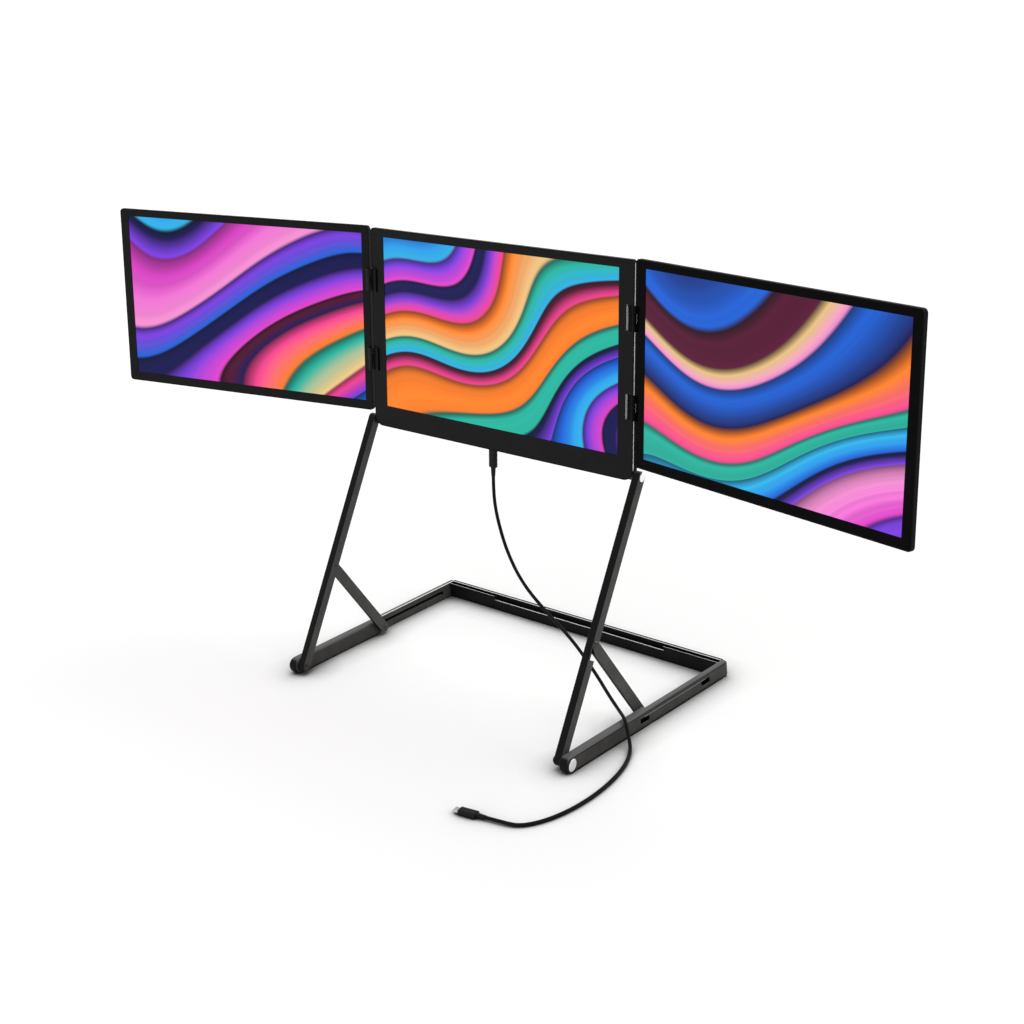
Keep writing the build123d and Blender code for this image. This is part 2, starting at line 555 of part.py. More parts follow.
def centre_screen(centre_leaves, pins):
    x_range = (-CENTRE_HALF_WIDTH, CENTRE_HALF_WIDTH)
    bottom = -HALF_LIT_HEIGHT - CENTRE_CHIN
    y_range = (bottom, HALF_LIT_HEIGHT + CENTRE_TOP_BEZEL)
    floor = -PANEL_DEPTH + BACK_FLOOR
    lcd, backlight, room = screen_stack(0, 0, 0)
    plate, frame = bezel(x_range, y_range, PANEL_CORNER, CHIN_CORNER, 0, 0, 0)

    front = slab(outline(x_range, y_range, PANEL_CORNER, CHIN_CORNER), -SIDE_WALL_DEPTH, 0)
    upper = tapered_back(x_range, (-HALF_LIT_HEIGHT - TAPER_BELOW_LIT_AREA, y_range[1]), 0)
    chin = slab(outline(x_range, (bottom, -HALF_LIT_HEIGHT), CHIN_TOP_CORNER, CHIN_CORNER), -PANEL_DEPTH, 0)
    hump = corner_hump(bottom)
    chin_room = block(
        (-CHIN_CAVITY_HALF_WIDTH, CHIN_CAVITY_HALF_WIDTH), (CHIN_CAVITY_BOTTOM, CHIN_CAVITY_TOP), (floor, 0)
    )
    cover = front + upper + chin + hump + mirrored(hump) - plate - room - chin_room

    bracket_body, bracket = tilt_bracket()
    cover = cover - bracket_body - mirrored(bracket_body)
    for side in (-1, 1):
        for pocket in hinge_pockets(side * CENTRE_HALF_WIDTH, -side, CENTRE_POCKET_WIDTH, 0):
            cover -= pocket
            frame -= pocket
    screw_levels = (CENTRE_LOWER_SCREW - HALF_LIT_HEIGHT, WING_RISE, y_range[1] - SCREW_FROM_END)
    screws = back_screws(x_range, screw_levels, 0)
    for screw in screws:
        cover -= screw

    shells = []
    for x in PORT_XS:
        place = Pos(x, bottom, -PORT_MIDDLE_DEPTH)
        shell, tongue = port_shell()
        cover -= place * pill(PORT_WIDTH, PORT_HEIGHT, PORT_LENGTH)
        shells.extend([place * shell, place * tongue] if x != PORT_XS[0] else [place * shell])

    button_board_x = (BUTTON_XS[0] - BUTTON_BOARD_MARGIN, BUTTON_XS[-1] + BUTTON_BOARD_MARGIN)
    button_board_y = (BUTTON_Y - BUTTON_BOARD_MARGIN, BUTTON_Y + BUTTON_BOARD_MARGIN)
    button_board = block(button_board_x, button_board_y, (-BEZEL_DEPTH - BUTTON_BOARD_DEPTH, -BEZEL_DEPTH))
    speaker_end = CHIN_CAVITY_HALF_WIDTH - SPEAKER_END_GAP
    board_y = inset((CHIN_CAVITY_BOTTOM, CHIN_CAVITY_TOP), BOARD_MARGIN)
    speaker = block((speaker_end - SPEAKER_LENGTH, speaker_end), board_y, (floor, floor + SPEAKER_DEPTH))
    speaker = fillet(speaker.edges().filter_by(Axis.Z), SPEAKER_CORNER)
    board_x = (button_board_x[1] + MAIN_BOARD_LEFT_GAP, speaker_end - SPEAKER_LENGTH - MAIN_BOARD_RIGHT_GAP)
    board_top = floor + BOARD_DEPTH
    board = block(board_x, board_y, (floor, board_top))
    for start, width in CHIPS:
        chip_x = (board_x[0] + start, board_x[0] + start + width)
        chip_top = board_y[1] - BOARD_MARGIN
        board += block(chip_x, (chip_top - CHIP_LENGTH, chip_top), (floor, board_top + CHIP_DEPTH))
    for shell_x in PORT_XS:
        half_room = PORT_WIDTH / 2 + PORT_BOARD_GAP
        room_y = (bottom, bottom + PORT_LENGTH + PORT_BOARD_GAP)
        board -= block((shell_x - half_room, shell_x + half_room), room_y, (floor - 1, 0))

    for name, x in zip(("power", "menu", "brightness"), BUTTON_XS):
        cap, switch = button_parts(x)
        cover -= cylinder_along_z(BUTTON_HOLE_RADIUS, -PANEL_DEPTH - 1, floor, x, BUTTON_Y)
        button_board += switch
        save(f"{name}_button", centre_place * cap)

    save("centre_back_cover", centre_place * cover)
    save("centre_bezel", centre_place * frame)
    save("centre_lcd", centre_place * lcd)
    save("centre_backlight", centre_place * backlight)
    save("main_board", centre_place * board)
    save("button_board", centre_place * button_board)
    save("loudspeakers", centre_place * speaker, centre_place * mirrored(speaker))
    save("port_shells", *[centre_place * shell for shell in shells])
    save("centre_screws", *[centre_place * screw for screw in screws])
    save("tilt_bracket_right", centre_place * bracket)
    save("tilt_bracket_left", centre_place * mirrored(bracket))
    save("centre_hinge_leaves", *[centre_place * leaf for leaf in centre_leaves])
    save("wing_hinge_pins", *[centre_place * pin for pin in pins])
    return bottom


# ---------------------------------------------------------------- stand
def arm_sheet(*corners):
    """Polygon in the side plane; each corner is (up the arm, towards the back) from the strut's pivot."""
    outline_points = [(along, -back) for along, back in corners]
    return Pos(STRUT_PIVOT_Y, STRUT_PIVOT_Z) * Rot(0, 0, ARM_ANGLE) * Polygon(*outline_points, align=None)


def side_prism(sheet, x_low, x_high):
    """Sheet drawn as (y, z), made solid between two places across the stand."""
    return Pos(x_low, 0, 0) * extrude(Plane.YZ * sheet, x_high - x_low)


def folded_strut_room():
    """Room inside the arm for the strut when it lies against the arm."""
    turn = math.radians(FOLDED_TURN)
    edge = STRUT_WIDTH / 2 + ARM_POCKET_CLEARANCE
    beyond = ARM_WIDTH / 2 + 1
    shoulder = STRUT_UPPER_SHOULDER - ARM_POCKET_CLEARANCE
    corner_up = shoulder * math.cos(turn) + edge * math.sin(turn)
    corner_back = shoulder * math.sin(turn) - edge * math.cos(turn)
    exit_up = corner_up + (beyond - corner_back) / math.tan(turn)
    return arm_sheet(
        (-ARM_POCKET_BOTTOM, corner_back),
        (-ARM_POCKET_BOTTOM, beyond),
        (exit_up, beyond),
        (corner_up, corner_back),
    )


def arm():
    """Right-hand arm: a flat bar with round ends and a pocket for the strut."""
    middle_y = (LOWER_PIVOT_Y + TILT_Y) / 2
    middle_z = (LOWER_PIVOT_Z + TILT_Z) / 2
    sheet = Pos(middle_y, middle_z) * Rot(0, 0, ARM_ANGLE) * SlotCenterToCenter(ARM_LENGTH, ARM_WIDTH)
    bar = side_prism(sheet, ARM_INNER_X, ARM_OUTER_X)
    rims = bar.faces().filter_by(Plane.YZ).edges()
    bar = chamfer(rims, ARM_EDGE)
    front = -STRUT_HEAD_RADIUS - ARM_POCKET_CLEARANCE
    beyond = ARM_WIDTH / 2 + 1
    window = arm_sheet(
        (-ARM_POCKET_BOTTOM, front),
        (-ARM_POCKET_BOTTOM, beyond),
        (ARM_POCKET_TOP, beyond),
        (ARM_POCKET_TOP, front),
    )
    bar -= side_prism(window, ARM_POCKET_FLOOR_X, ARM_OUTER_X + 1)
    bar -= side_prism(folded_strut_room(), ARM_POCKET_FLOOR_X, STRUT_OUTER_X + ARM_POCKET_CLEARANCE)
    running = LOWER_PIN_RADIUS + RUNNING_CLEARANCE
    bar -= cylinder_along_x(running, ARM_INNER_X - 1, ARM_OUTER_X + 1, LOWER_PIVOT_Y, LOWER_PIVOT_Z)
    bar -= cylinder_along_x(TILT_PIN_RADIUS, ARM_INNER_X - 1, ARM_OUTER_X + 1, TILT_Y, TILT_Z)
    bar -= cylinder_along_x(STRUT_PIN_RADIUS, ARM_INNER_X - 1, ARM_OUTER_X, STRUT_PIVOT_Y, STRUT_PIVOT_Z)
    return bar


def strut():
    """Right-hand strut: narrow round head in the arm, round foot at the rail."""
    half = STRUT_WIDTH / 2
    shank = Polygon(
        (0, -STRUT_HEAD_RADIUS),
        (STRUT_LOWER_SHOULDER, -half),
        (STRUT_LENGTH, -half),
        (STRUT_LENGTH, half),
        (STRUT_UPPER_SHOULDER, half),
        (0, STRUT_HEAD_RADIUS),
        align=None,
    )
    foot = Pos(STRUT_LENGTH, 0) * Circle(half)
    sheet = Circle(STRUT_HEAD_RADIUS) + shank + foot
    sheet = Pos(STRUT_PIVOT_Y, STRUT_PIVOT_Z) * Rot(0, 0, -STRUT_ANGLE) * sheet
    bar = side_prism(sheet, STRUT_INNER_X, STRUT_OUTER_X)
    running = STRUT_PIN_RADIUS + RUNNING_CLEARANCE
    bar -= cylinder_along_x(running, STRUT_INNER_X - 1, STRUT_OUTER_X + 1, STRUT_PIVOT_Y, STRUT_PIVOT_Z)
    bar -= cylinder_along_x(STRUT_PIN_RADIUS, STRUT_INNER_X - 1, STRUT_OUTER_X + 1, FOOT_Y, LOWER_PIVOT_Z)
    return bar


def top_chain(rail, x):
    """Upper long edge and nose arc of the rail's face at one place across."""
    edges = rail.edges().filter_by(lambda edge: abs(edge.center().X - x) < 0.01)
    edges = edges.filter_by(lambda edge: abs(edge.bounding_box().size.X) < 0.01)
    level = RAIL_HEIGHT - 0.01
    return edges.filter_by(lambda edge: edge.bounding_box().max.Z > level and edge.bounding_box().size.Y > 1)


def side_rail():
    """Right-hand rail: thick and round-nosed in front, thinner behind, with the strut's slot."""
    rear_y = CROSS_RAIL_DEPTH / 2
    step_y = FOOT_Y - RAIL_STEP_BEFORE_FOOT
    nose = Pos(LOWER_PIVOT_Y, LOWER_PIVOT_Z) * Circle(RAIL_HEIGHT / 2)
    body = Pos(LOWER_PIVOT_Y + RAIL_LENGTH / 2, LOWER_PIVOT_Z) * Rectangle(RAIL_LENGTH, RAIL_HEIGHT)
    rail = side_prism(nose + body, RAIL_FRONT_INNER_X, RAIL_OUTER_X)
    rail -= block((RAIL_FRONT_INNER_X - 1, RAIL_REAR_INNER_X), (step_y, rear_y + 1), (-1, RAIL_HEIGHT + 1))
    rear_corner = rail.edges().filter_by(Axis.Z).sort_by(Axis.Y)[-2:].sort_by(Axis.X)[-1]
    rail = fillet(rear_corner, RAIL_REAR_CORNER)
    rail = fillet(top_chain(rail, RAIL_OUTER_X), RAIL_OUTER_EDGE)
    rail = fillet(top_chain(rail, RAIL_FRONT_INNER_X), RAIL_INNER_EDGE)
    rail = chamfer(top_chain(rail, RAIL_REAR_INNER_X), RAIL_REAR_INNER_EDGE)
    rail -= block((RAIL_FRONT_INNER_X - 1, RAIL_OUTER_X + 1), (LOWER_PIVOT_Y - 20, rear_y + 1), (-1, FOOT_PAD_DEPTH))

    slot_reach = STRUT_PIN_RADIUS + SLOT_END_GAP
    slot_y = (FOOT_Y - slot_reach, foot_place(ARM_FOLDED_ANGLE) + slot_reach)
    half_slot = SLOT_HEIGHT / 2
    slot_z = (LOWER_PIVOT_Z - half_slot, LOWER_PIVOT_Z + half_slot)
    rail -= block((RAIL_FRONT_INNER_X - 1, SLOT_END_X), slot_y, slot_z)
    half_window = WINDOW_HEIGHT / 2
    window_z = (LOWER_PIVOT_Z - half_window, LOWER_PIVOT_Z + half_window)
    window_ys = [LOWER_PIVOT_Y + FRONT_WINDOW_FROM_PIVOT, LOWER_PIVOT_Y + REAR_WINDOW_FROM_PIVOT]
    for y in window_ys:
        window_y = (y - WINDOW_LENGTH / 2, y + WINDOW_LENGTH / 2)
        rail -= block((RAIL_OUTER_X - WINDOW_DEPTH, RAIL_OUTER_X + 1), window_y, window_z)
    seam_z = (window_z[1] - SEAM_HEIGHT, window_z[1])
    rail -= block((RAIL_OUTER_X - SEAM_DEPTH, RAIL_OUTER_X + 1), window_ys, seam_z)
    rail -= cylinder_along_x(LOWER_PIN_RADIUS, RAIL_FRONT_INNER_X - 1, RAIL_OUTER_X + 1, LOWER_PIVOT_Y, LOWER_PIVOT_Z)
    rail -= tongue()
    return rail - corner_screw()


def tongue():
    """End of the cross rail that laps under the right-hand rail."""
    y_range = (-TONGUE_HALF_DEPTH, TONGUE_HALF_DEPTH)
    return block((RAIL_REAR_INNER_X, TONGUE_X), y_range, (FOOT_PAD_DEPTH, TONGUE_TOP_Z))


def corner_screw():
    neck = FOOT_PAD_DEPTH + CORNER_SCREW_HEAD_DEPTH
    head = cylinder_along_z(CORNER_SCREW_HEAD_RADIUS, FOOT_PAD_DEPTH, neck, CORNER_SCREW_X, 0)
    return head + cylinder_along_z(CORNER_SCREW_RADIUS, neck, CORNER_SCREW_TOP_Z, CORNER_SCREW_X, 0)


def cross_rail():
    """Rear rail: an open channel between two end blocks, in front of a slightly higher rear wall."""
    half_depth = CROSS_RAIL_DEPTH / 2
    length = (-RAIL_REAR_INNER_X, RAIL_REAR_INNER_X)
    rail = block(length, (-half_depth, half_depth), (FOOT_PAD_DEPTH, RAIL_HEIGHT - CROSS_RAIL_END_DROP))
    front_edge = rail.edges().filter_by(Axis.X).group_by(Axis.Z)[-1].sort_by(Axis.Y)[0]
    rail = fillet(front_edge, CROSS_RAIL_FRONT_EDGE)
    wall = block(length, (half_depth - CHANNEL_REAR_WALL, half_depth), (FOOT_PAD_DEPTH, RAIL_HEIGHT))
    wall_edges = wall.edges().filter_by(Axis.X).group_by(Axis.Z)[-1]
    rail += chamfer(wall_edges, CROSS_RAIL_REAR_EDGE)
    half_channel = RAIL_REAR_INNER_X - CROSS_RAIL_END_LENGTH
    span = (-half_channel, half_channel)
    channel_y = (CHANNEL_FRONT_WALL - half_depth, half_depth - CHANNEL_REAR_WALL)
    rail -= block(span, channel_y, (CHANNEL_FLOOR_Z, RAIL_HEIGHT + 1))
    rail -= block(span, (-half_depth - 1, channel_y[0]), (CHANNEL_LIP_Z, RAIL_HEIGHT + 1))
    rail = rail + tongue() + mirrored(tongue())
    return rail - corner_screw() - mirrored(corner_screw())


def foot_pads():
    z_range = (0, FOOT_PAD_DEPTH)
    front_x = inset((RAIL_FRONT_INNER_X, RAIL_OUTER_X), FOOT_PAD_INSET)
    front = block(front_x, (LOWER_PIVOT_Y, LOWER_PIVOT_Y + FOOT_PAD_LENGTH), z_range)
    rear_x = inset((RAIL_REAR_INNER_X, RAIL_OUTER_X), FOOT_PAD_INSET)
    rear_end = CROSS_RAIL_DEPTH / 2 - REAR_PAD_FROM_END
    rear = block(rear_x, (rear_end - FOOT_PAD_LENGTH, rear_end), z_range)
    half_length = MIDDLE_PAD_LENGTH / 2
    half_width = MIDDLE_PAD_WIDTH / 2
    middle = block((-half_length, half_length), (-half_width, half_width), z_range)
    return [front, mirrored(front), rear, mirrored(rear), middle]


def lower_pin():
    y_z = (LOWER_PIVOT_Y, LOWER_PIVOT_Z)
    head_end = ARM_INNER_X - PIN_SIDE_GAP
    head_x = (head_end - LOWER_PIN_HEAD_DEPTH, head_end)
    head = cylinder_along_x(LOWER_PIN_HEAD_RADIUS, *head_x, *y_z)
    return head + cylinder_along_x(LOWER_PIN_RADIUS, head_x[0], RAIL_OUTER_X, *y_z)


def oval_cap(length, depth, x, y, z):
    """Polished oval cap over a pin's end, its long way along the arm."""
    half_length = length / 2
    sheet = Pos(y, z) * Rot(0, 0, ARM_ANGLE) * Ellipse(half_length, CAP_SLIMNESS * half_length)
    cap = side_prism(sheet, x, x + depth)
    return chamfer(cap.faces().sort_by(Axis.X)[-1].edges(), CAP_EDGE)


def tilt_washer():
    washer = cylinder_along_x(WASHER_RADIUS, ARM_INNER_X - WASHER_DEPTH, ARM_INNER_X, TILT_Y, TILT_Z)
    return washer - cylinder_along_x(TILT_PIN_RADIUS, ARM_INNER_X - 2, ARM_INNER_X + 1, TILT_Y, TILT_Z)


def strut_pin():
    y_z = (STRUT_PIVOT_Y, STRUT_PIVOT_Z)
    head_x = (STRUT_OUTER_X + PIN_SIDE_GAP, ARM_OUTER_X - PIN_SIDE_GAP)
    head = cylinder_along_x(STRUT_PIN_HEAD_RADIUS, *head_x, *y_z)
    return head + cylinder_along_x(STRUT_PIN_RADIUS, ARM_INNER_X + PIN_SIDE_GAP, head_x[1], *y_z)


# ---------------------------------------------------------------- cable
def fillet_radii(points):
    """Radius at each inner point from the shorter run beside it and half the turn there."""
    radii = []
    for before, here, after in zip(points, points[1:], points[2:]):
        run_in = here - before
        run_out = after - here
        turn = math.radians(run_in.get_angle(run_out))
        radii.append(0.45 * min(run_in.length, run_out.length) / math.tan(turn / 2))
    return radii


def plug_body():
    """Moulded plug along +y: its relief starts at the origin, its face is at the far end."""
    relief = Rot(-90, 0, 0) * Pos(0, 0, RELIEF_LENGTH / 2) * Cone(
        RELIEF_END_RADIUS, RELIEF_START_RADIUS, RELIEF_LENGTH
    )
    body = extrude(RectangleRounded(PLUG_WIDTH, PLUG_THICKNESS, PLUG_CORNER), PLUG_LENGTH)
    body = fillet(body.faces().sort_by(Axis.Z)[0].edges(), PLUG_EDGE)
    return relief + Pos(0, RELIEF_LENGTH, 0) * Rot(-90, 0, 0) * body


def plug_shell():
    """Metal shell beyond the plug's face."""
    shell = pill(PLUG_SHELL_WIDTH, PLUG_SHELL_THICKNESS, PLUG_SHELL_LENGTH)
    inner_width = PLUG_SHELL_WIDTH - 2 * PLUG_SHELL_WALL
    inner_thickness = PLUG_SHELL_THICKNESS - 2 * PLUG_SHELL_WALL
    hollow = Pos(0, PLUG_SHELL_FLOOR, 0) * pill(inner_width, inner_thickness, PLUG_SHELL_LENGTH)
    return Pos(0, RELIEF_LENGTH + PLUG_LENGTH, 0) * (shell - hollow)


def cable(bottom):
    upper_place = centre_place * Pos(PORT_X, bottom - PLUG_LENGTH - RELIEF_LENGTH, -PORT_MIDDLE_DEPTH)
    plug_x = RAIL_OUTER_X - LAPTOP_PLUG_INSIDE_RAIL
    plug_y = LOWER_PIVOT_Y - LAPTOP_PLUG_BEFORE_PIVOT
    lower_place = Pos(plug_x, plug_y, LAPTOP_PLUG_Z) * Rot(0, 0, 90 + LAPTOP_PLUG_TURN)
    upper_start = upper_place * Pos(0, -CABLE_END_GAP, 0)
    points = [upper_start.position]
    points.extend(Vector(PORT_X + x, LOWER_PIVOT_Y + y, z) for x, y, z in ROUTE_FROM_PORT)
    points.extend(Vector(RAIL_OUTER_X + x, LOWER_PIVOT_Y + y, z) for x, y, z in ROUTE_FROM_RAIL)
    points.append((lower_place * Pos(0, -CABLE_LAST_RUN, 0)).position)
    points.append(lower_place.position)
    radii = fillet_radii(points)
    print("cable radii", [round(radius, 1) for radius in radii])
    route = FilletPolyline(*points, radius=radii)
    tube = sweep(Plane(origin=route @ 0, z_dir=route % 0) * Circle(CABLE_RADIUS), path=route)
    expected = math.pi * CABLE_RADIUS**2 * route.length
    print("cable length", round(route.length, 1), "volume", round(tube.volume, 1), "expected", round(expected, 1))
    save("usb_cable", tube)
    save("usb_plug_screen", upper_place * plug_body())
    save("usb_plug_laptop", lower_place * plug_body())
    save("usb_shell_screen", upper_place * plug_shell())
    save("usb_shell_laptop", lower_place * plug_shell())


# ---------------------------------------------------------------- nodes
right_hinge = wing_hinge(1, RIGHT_HINGE_LIFT, SUNK_LEAF_TOP, SUNK_LEAF_TOP)
left_hinge = wing_hinge(-1, LEFT_HINGE_LIFT, RAISED_LEAF_TOP, RAISED_LEAF_TOP)
to_right = Pos(HINGE_X, 0, RIGHT_HINGE_LIFT)
to_left = Pos(-HINGE_X, 0, LEFT_HINGE_LIFT)
centre_leaves = [to_right * leaf for leaf in right_hinge[0]] + [to_left * leaf for leaf in left_hinge[0]]
hinge_pins = [to_right * pin for pin in right_hinge[2]] + [to_left * pin for pin in left_hinge[2]]
chin_bottom = centre_screen(centre_leaves, hinge_pins)
wing(1, "right", right_place, RIGHT_INNER_BEZEL, RIGHT_HINGE_LIFT, right_hinge[1])
wing(-1, "left", left_place, LEFT_INNER_BEZEL, LEFT_HINGE_LIFT, left_hinge[1])

save_pair("side_rail", side_rail())
save("cross_rail", cross_rail())
save("corner_screws", corner_screw(), mirrored(corner_screw()))
save("foot_pads", *foot_pads())
save_pair("lower_pin", lower_pin())
save_pair("lower_cap", oval_cap(LOWER_CAP_LENGTH, LOWER_CAP_DEPTH, RAIL_OUTER_X, LOWER_PIVOT_Y, LOWER_PIVOT_Z))
save_pair("arm", arm())
save_pair("upper_cap", oval_cap(UPPER_CAP_LENGTH, UPPER_CAP_DEPTH, ARM_OUTER_X, TILT_Y, TILT_Z))
save_pair("tilt_pin", cylinder_along_x(TILT_PIN_RADIUS, TILT_PIN_END_X, ARM_OUTER_X, TILT_Y, TILT_Z))
save("tilt_washers", tilt_washer(), mirrored(tilt_washer()))
save_pair("strut_pin", strut_pin())
save_pair("strut", strut())
save_pair("foot_pin", cylinder_along_x(STRUT_PIN_RADIUS, STRUT_INNER_X, FOOT_PIN_END_X, FOOT_Y, LOWER_PIVOT_Z))
cable(chin_bottom)
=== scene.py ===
import json
import math

import bpy
from mathutils import Matrix, Vector


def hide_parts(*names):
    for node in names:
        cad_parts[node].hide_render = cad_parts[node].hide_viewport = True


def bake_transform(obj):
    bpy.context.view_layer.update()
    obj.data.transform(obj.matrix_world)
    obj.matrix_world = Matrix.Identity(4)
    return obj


# Looks of the laptop screen extender. Metres and degrees, in the frame of the CAD part.

# Camera
FOCAL_PIXELS = 1832.38
IMAGE_PIXELS = 1024
SENSOR_WIDTH = 36.0
CAMERA_PLACE = (1.33968, -1.44731, 0.91686)
CAMERA_YAW = 44.70
CAMERA_PITCH = 21.01
CAMERA_ROLL = 5.30
CAMERA_REACH = 20

# Room
WORLD_LEVEL = 0.8
TABLE_SIZE = 60
TABLE_BELOW_FEET = 0.0002
TABLE_WHITE = (0.99, 0.99, 0.985, 1)
TABLE_AS_LIT = (0.5, 0.5, 0.5, 1)
CONTACT_SHADOW = (0.03, 0.03, 0.03, 1)
CONTACT_REACH = 0.04
CONTACT_SAMPLES = 4
SHADOW_FULL_BELOW = 0.3
SHADOW_NONE_ABOVE = 0.97

# Stand, as in the part's source
LOWER_PIVOT_Y = -0.258
LOWER_PIVOT_Z = 0.0092
ARM_LENGTH = 0.3005
ARM_ANGLE = 59.5
RAIL_OUTER_X = 0.2151
RAIL_REAR_INNER_X = 0.2085
RAIL_REAR_INNER_EDGE = 0.0006
RAIL_STEP_FROM_PIVOT = 0.1249
RECESS_DEPTH = 0.0021
FRONT_WINDOW_FROM_PIVOT = 0.1169
REAR_WINDOW_FROM_PIVOT = 0.2219
SEAM_TOP_Z = 0.0124
SEAM_HIGHLIGHT_HEIGHT = 0.0006
CHANNEL_LIP_Z = 0.0127
CROSS_RAIL_TOPS = (0.0171, 0.0190)
REAR_WALL_EDGE = (0.0176, 0.0186)

# Screens, as in the part's source
SCREEN_WIDTH = 0.3442
SCREEN_HEIGHT = 0.1936
CENTRE_LEAN = 6.7
PIVOT_BELOW_MIDDLE = 0.1154
PIVOT_BEHIND_FACE = 0.0035
CENTRE_CHIN = 0.0247
CENTRE_SIDE_BEZEL = 0.0202
CENTRE_HALF_WIDTH = SCREEN_WIDTH / 2 + CENTRE_SIDE_BEZEL
CENTRE_POCKET_WIDTH = 0.01
HIGHLIGHT_BEHIND_FACE = (0.0007, 0.0019)
UPPER_HINGE_BELOW_LIT_TOP = 0.0498
LOWER_HINGE_ABOVE_LIT_BOTTOM = 0.0525
HINGE_HEIGHTS = (
    SCREEN_HEIGHT / 2 - UPPER_HINGE_BELOW_LIT_TOP,
    LOWER_HINGE_ABOVE_LIT_BOTTOM - SCREEN_HEIGHT / 2,
)
HINGE_POCKET_HALF_LENGTH = 0.0132
HINGE_HALF_GAP = 0.001
LEFT_HINGE_LIFT = 0.004
RIGHT_HINGE_LIFT = 0.0006
LEFT_FOLD = 13.05
RIGHT_FOLD = 10.42
LEFT_INNER_BEZEL = 0.0102
RIGHT_INNER_BEZEL = 0.0142
WING_RISE = 0.0022

# USB-C cable, as in the part's source: its route is measured across from the port or from the right
# rail's outer face, and along the table from the arms' lower pivots
PORT_X = -0.0073
PORT_MIDDLE_DEPTH = 0.0032
PLUG_AND_RELIEF = 0.030
CABLE_END_GAP = 0.0003
CABLE_RADIUS = 0.0019
ROUTE_FROM_PORT = (
    (0.0, 0.1457, 0.2125),
    (0.0028, 0.1445, 0.1865),
    (0.0148, 0.1425, 0.1485),
    (0.0383, 0.1390, 0.1155),
    (0.0763, 0.1330, 0.0925),
)
ROUTE_FROM_RAIL = (
    (-0.1031, 0.1255, 0.0725),
    (-0.0651, 0.1155, 0.0485),
    (-0.0391, 0.1075, 0.0295),
    (-0.0191, 0.0980, 0.0232),
    (-0.0006, 0.0855, 0.0240),
    (0.0099, 0.0775, 0.0110),
    (0.0219, 0.0660, 0.0020),
    (0.0359, 0.0400, 0.0020),
    (0.0449, 0.0090, 0.0020),
    (0.0494, -0.0270, 0.0020),
    (0.0474, -0.0630, 0.0020),
    (0.0394, -0.0910, 0.0020),
    (0.0264, -0.1095, 0.0020),
)
CABLE_LAST_RUN = 0.0215
LAPTOP_PLUG_INSIDE_RAIL = 0.0106
LAPTOP_PLUG_BEFORE_PIVOT = 0.118
LAPTOP_PLUG_Z = 0.0031
LAPTOP_PLUG_TURN = 9.0

# How the cable is drawn: its lead ends at a height, where its flex begins
CABLE_LEAD_END_Z = 0.165
CABLE_STEPS = 16
CABLE_ROUNDNESS = 6

# Masks pick faces by their place, within a slack, and by how much of their normal lies along an axis
FACE_SLACK = 0.0001
WALL_SLACK = 0.0002
FAR = 1.0
FACING = (0.9, 1.1)
SQUARELY_FACING = (0.95, 1.1)
SLANTED = (0.5, 0.9)
NOISE_RANGE = (0.3, 0.7)

# Colours of the finishes; a pair is the darkest and the lightest of an uneven one
ARM_GREYS = ((0.050, 0.049, 0.046), (0.070, 0.068, 0.064))
RAIL_GREYS = ((0.038, 0.037, 0.034), (0.054, 0.052, 0.048))
DIFFUSER_WHITES = ((0.78, 0.79, 0.8), (0.85, 0.86, 0.88))
BOARD_GREENS = ((0.02, 0.14, 0.06), (0.04, 0.2, 0.09))
PLATED_STEEL = (0.05, 0.05, 0.052)
NICKEL = (0.6, 0.6, 0.62)
BRIGHT_METAL = (0.93, 0.93, 0.94)
DISPLAY_BLACK = (0.002, 0.002, 0.003)
DARKEST_METAL_SHARE = 0.86

# Pictures on the screens
SHADOW_LEVEL = 0.25
SHADOW_AT = 0.03
START_COLOUR_AT = 0.3
END_COLOUR_AT = 0.95
STREAKS_PER_HEIGHT = 9.0
SHEEN_LEVELS = (0.84, 1.12)
WARP_STRETCH = (0.45, 0.6, 1.0)
WARP_SWIRL = 0.6
WARP_AMOUNT = 2.6
NAVY = (0.006, 0.006, 0.08)
BLUE = (0.01, 0.13, 0.72)
SKY = (0.03, 0.47, 0.85)
VIOLET = (0.2, 0.05, 0.75)
MAGENTA = (0.78, 0.06, 0.62)
ROSE = (0.95, 0.3, 0.68)
PINK = (0.95, 0.06, 0.3)
ORANGE = (1.0, 0.22, 0.02)
SAND = (0.9, 0.6, 0.25)
TEAL = (0.02, 0.48, 0.36)
WINE = (0.09, 0.004, 0.03)

# Each ribbon is its width and the two colours that it runs between
LEFT_RIBBONS = (
    (1.5, BLUE, SKY),
    (0.7, NAVY, VIOLET),
    (1.7, MAGENTA, ROSE),
    (0.9, VIOLET, BLUE),
    (0.6, NAVY, NAVY),
    (0.9, VIOLET, MAGENTA),
    (0.5, WINE, NAVY),
    (1.0, PINK, ORANGE),
    (1.0, TEAL, SAND),
    (0.6, PINK, VIOLET),
)
CENTRE_RIBBONS = (
    (1.2, BLUE, SKY),
    (0.8, VIOLET, MAGENTA),
    (0.5, NAVY, NAVY),
    (0.9, VIOLET, PINK),
    (1.4, ORANGE, SAND),
    (0.8, TEAL, SKY),
    (0.6, WINE, PINK),
    (1.3, ORANGE, ORANGE),
    (0.9, TEAL, TEAL),
    (0.6, NAVY, VIOLET),
)
RIGHT_RIBBONS = (
    (0.9, SKY, BLUE),
    (0.5, NAVY, VIOLET),
    (2.0, ROSE, MAGENTA),
    (0.7, VIOLET, VIOLET),
    (1.8, NAVY, BLUE),
    (0.9, WINE, WINE),
    (0.5, SAND, ROSE),
    (1.2, BLUE, NAVY),
    (1.0, ORANGE, PINK),
    (0.5, TEAL, TEAL),
)
LEFT_FLOW = {"seed": 3.1, "direction": (0.3, -0.9, 0), "turns": 0.55}
CENTRE_FLOW = {"seed": 7.7, "direction": (0.4, -0.85, 0), "turns": 0.55}
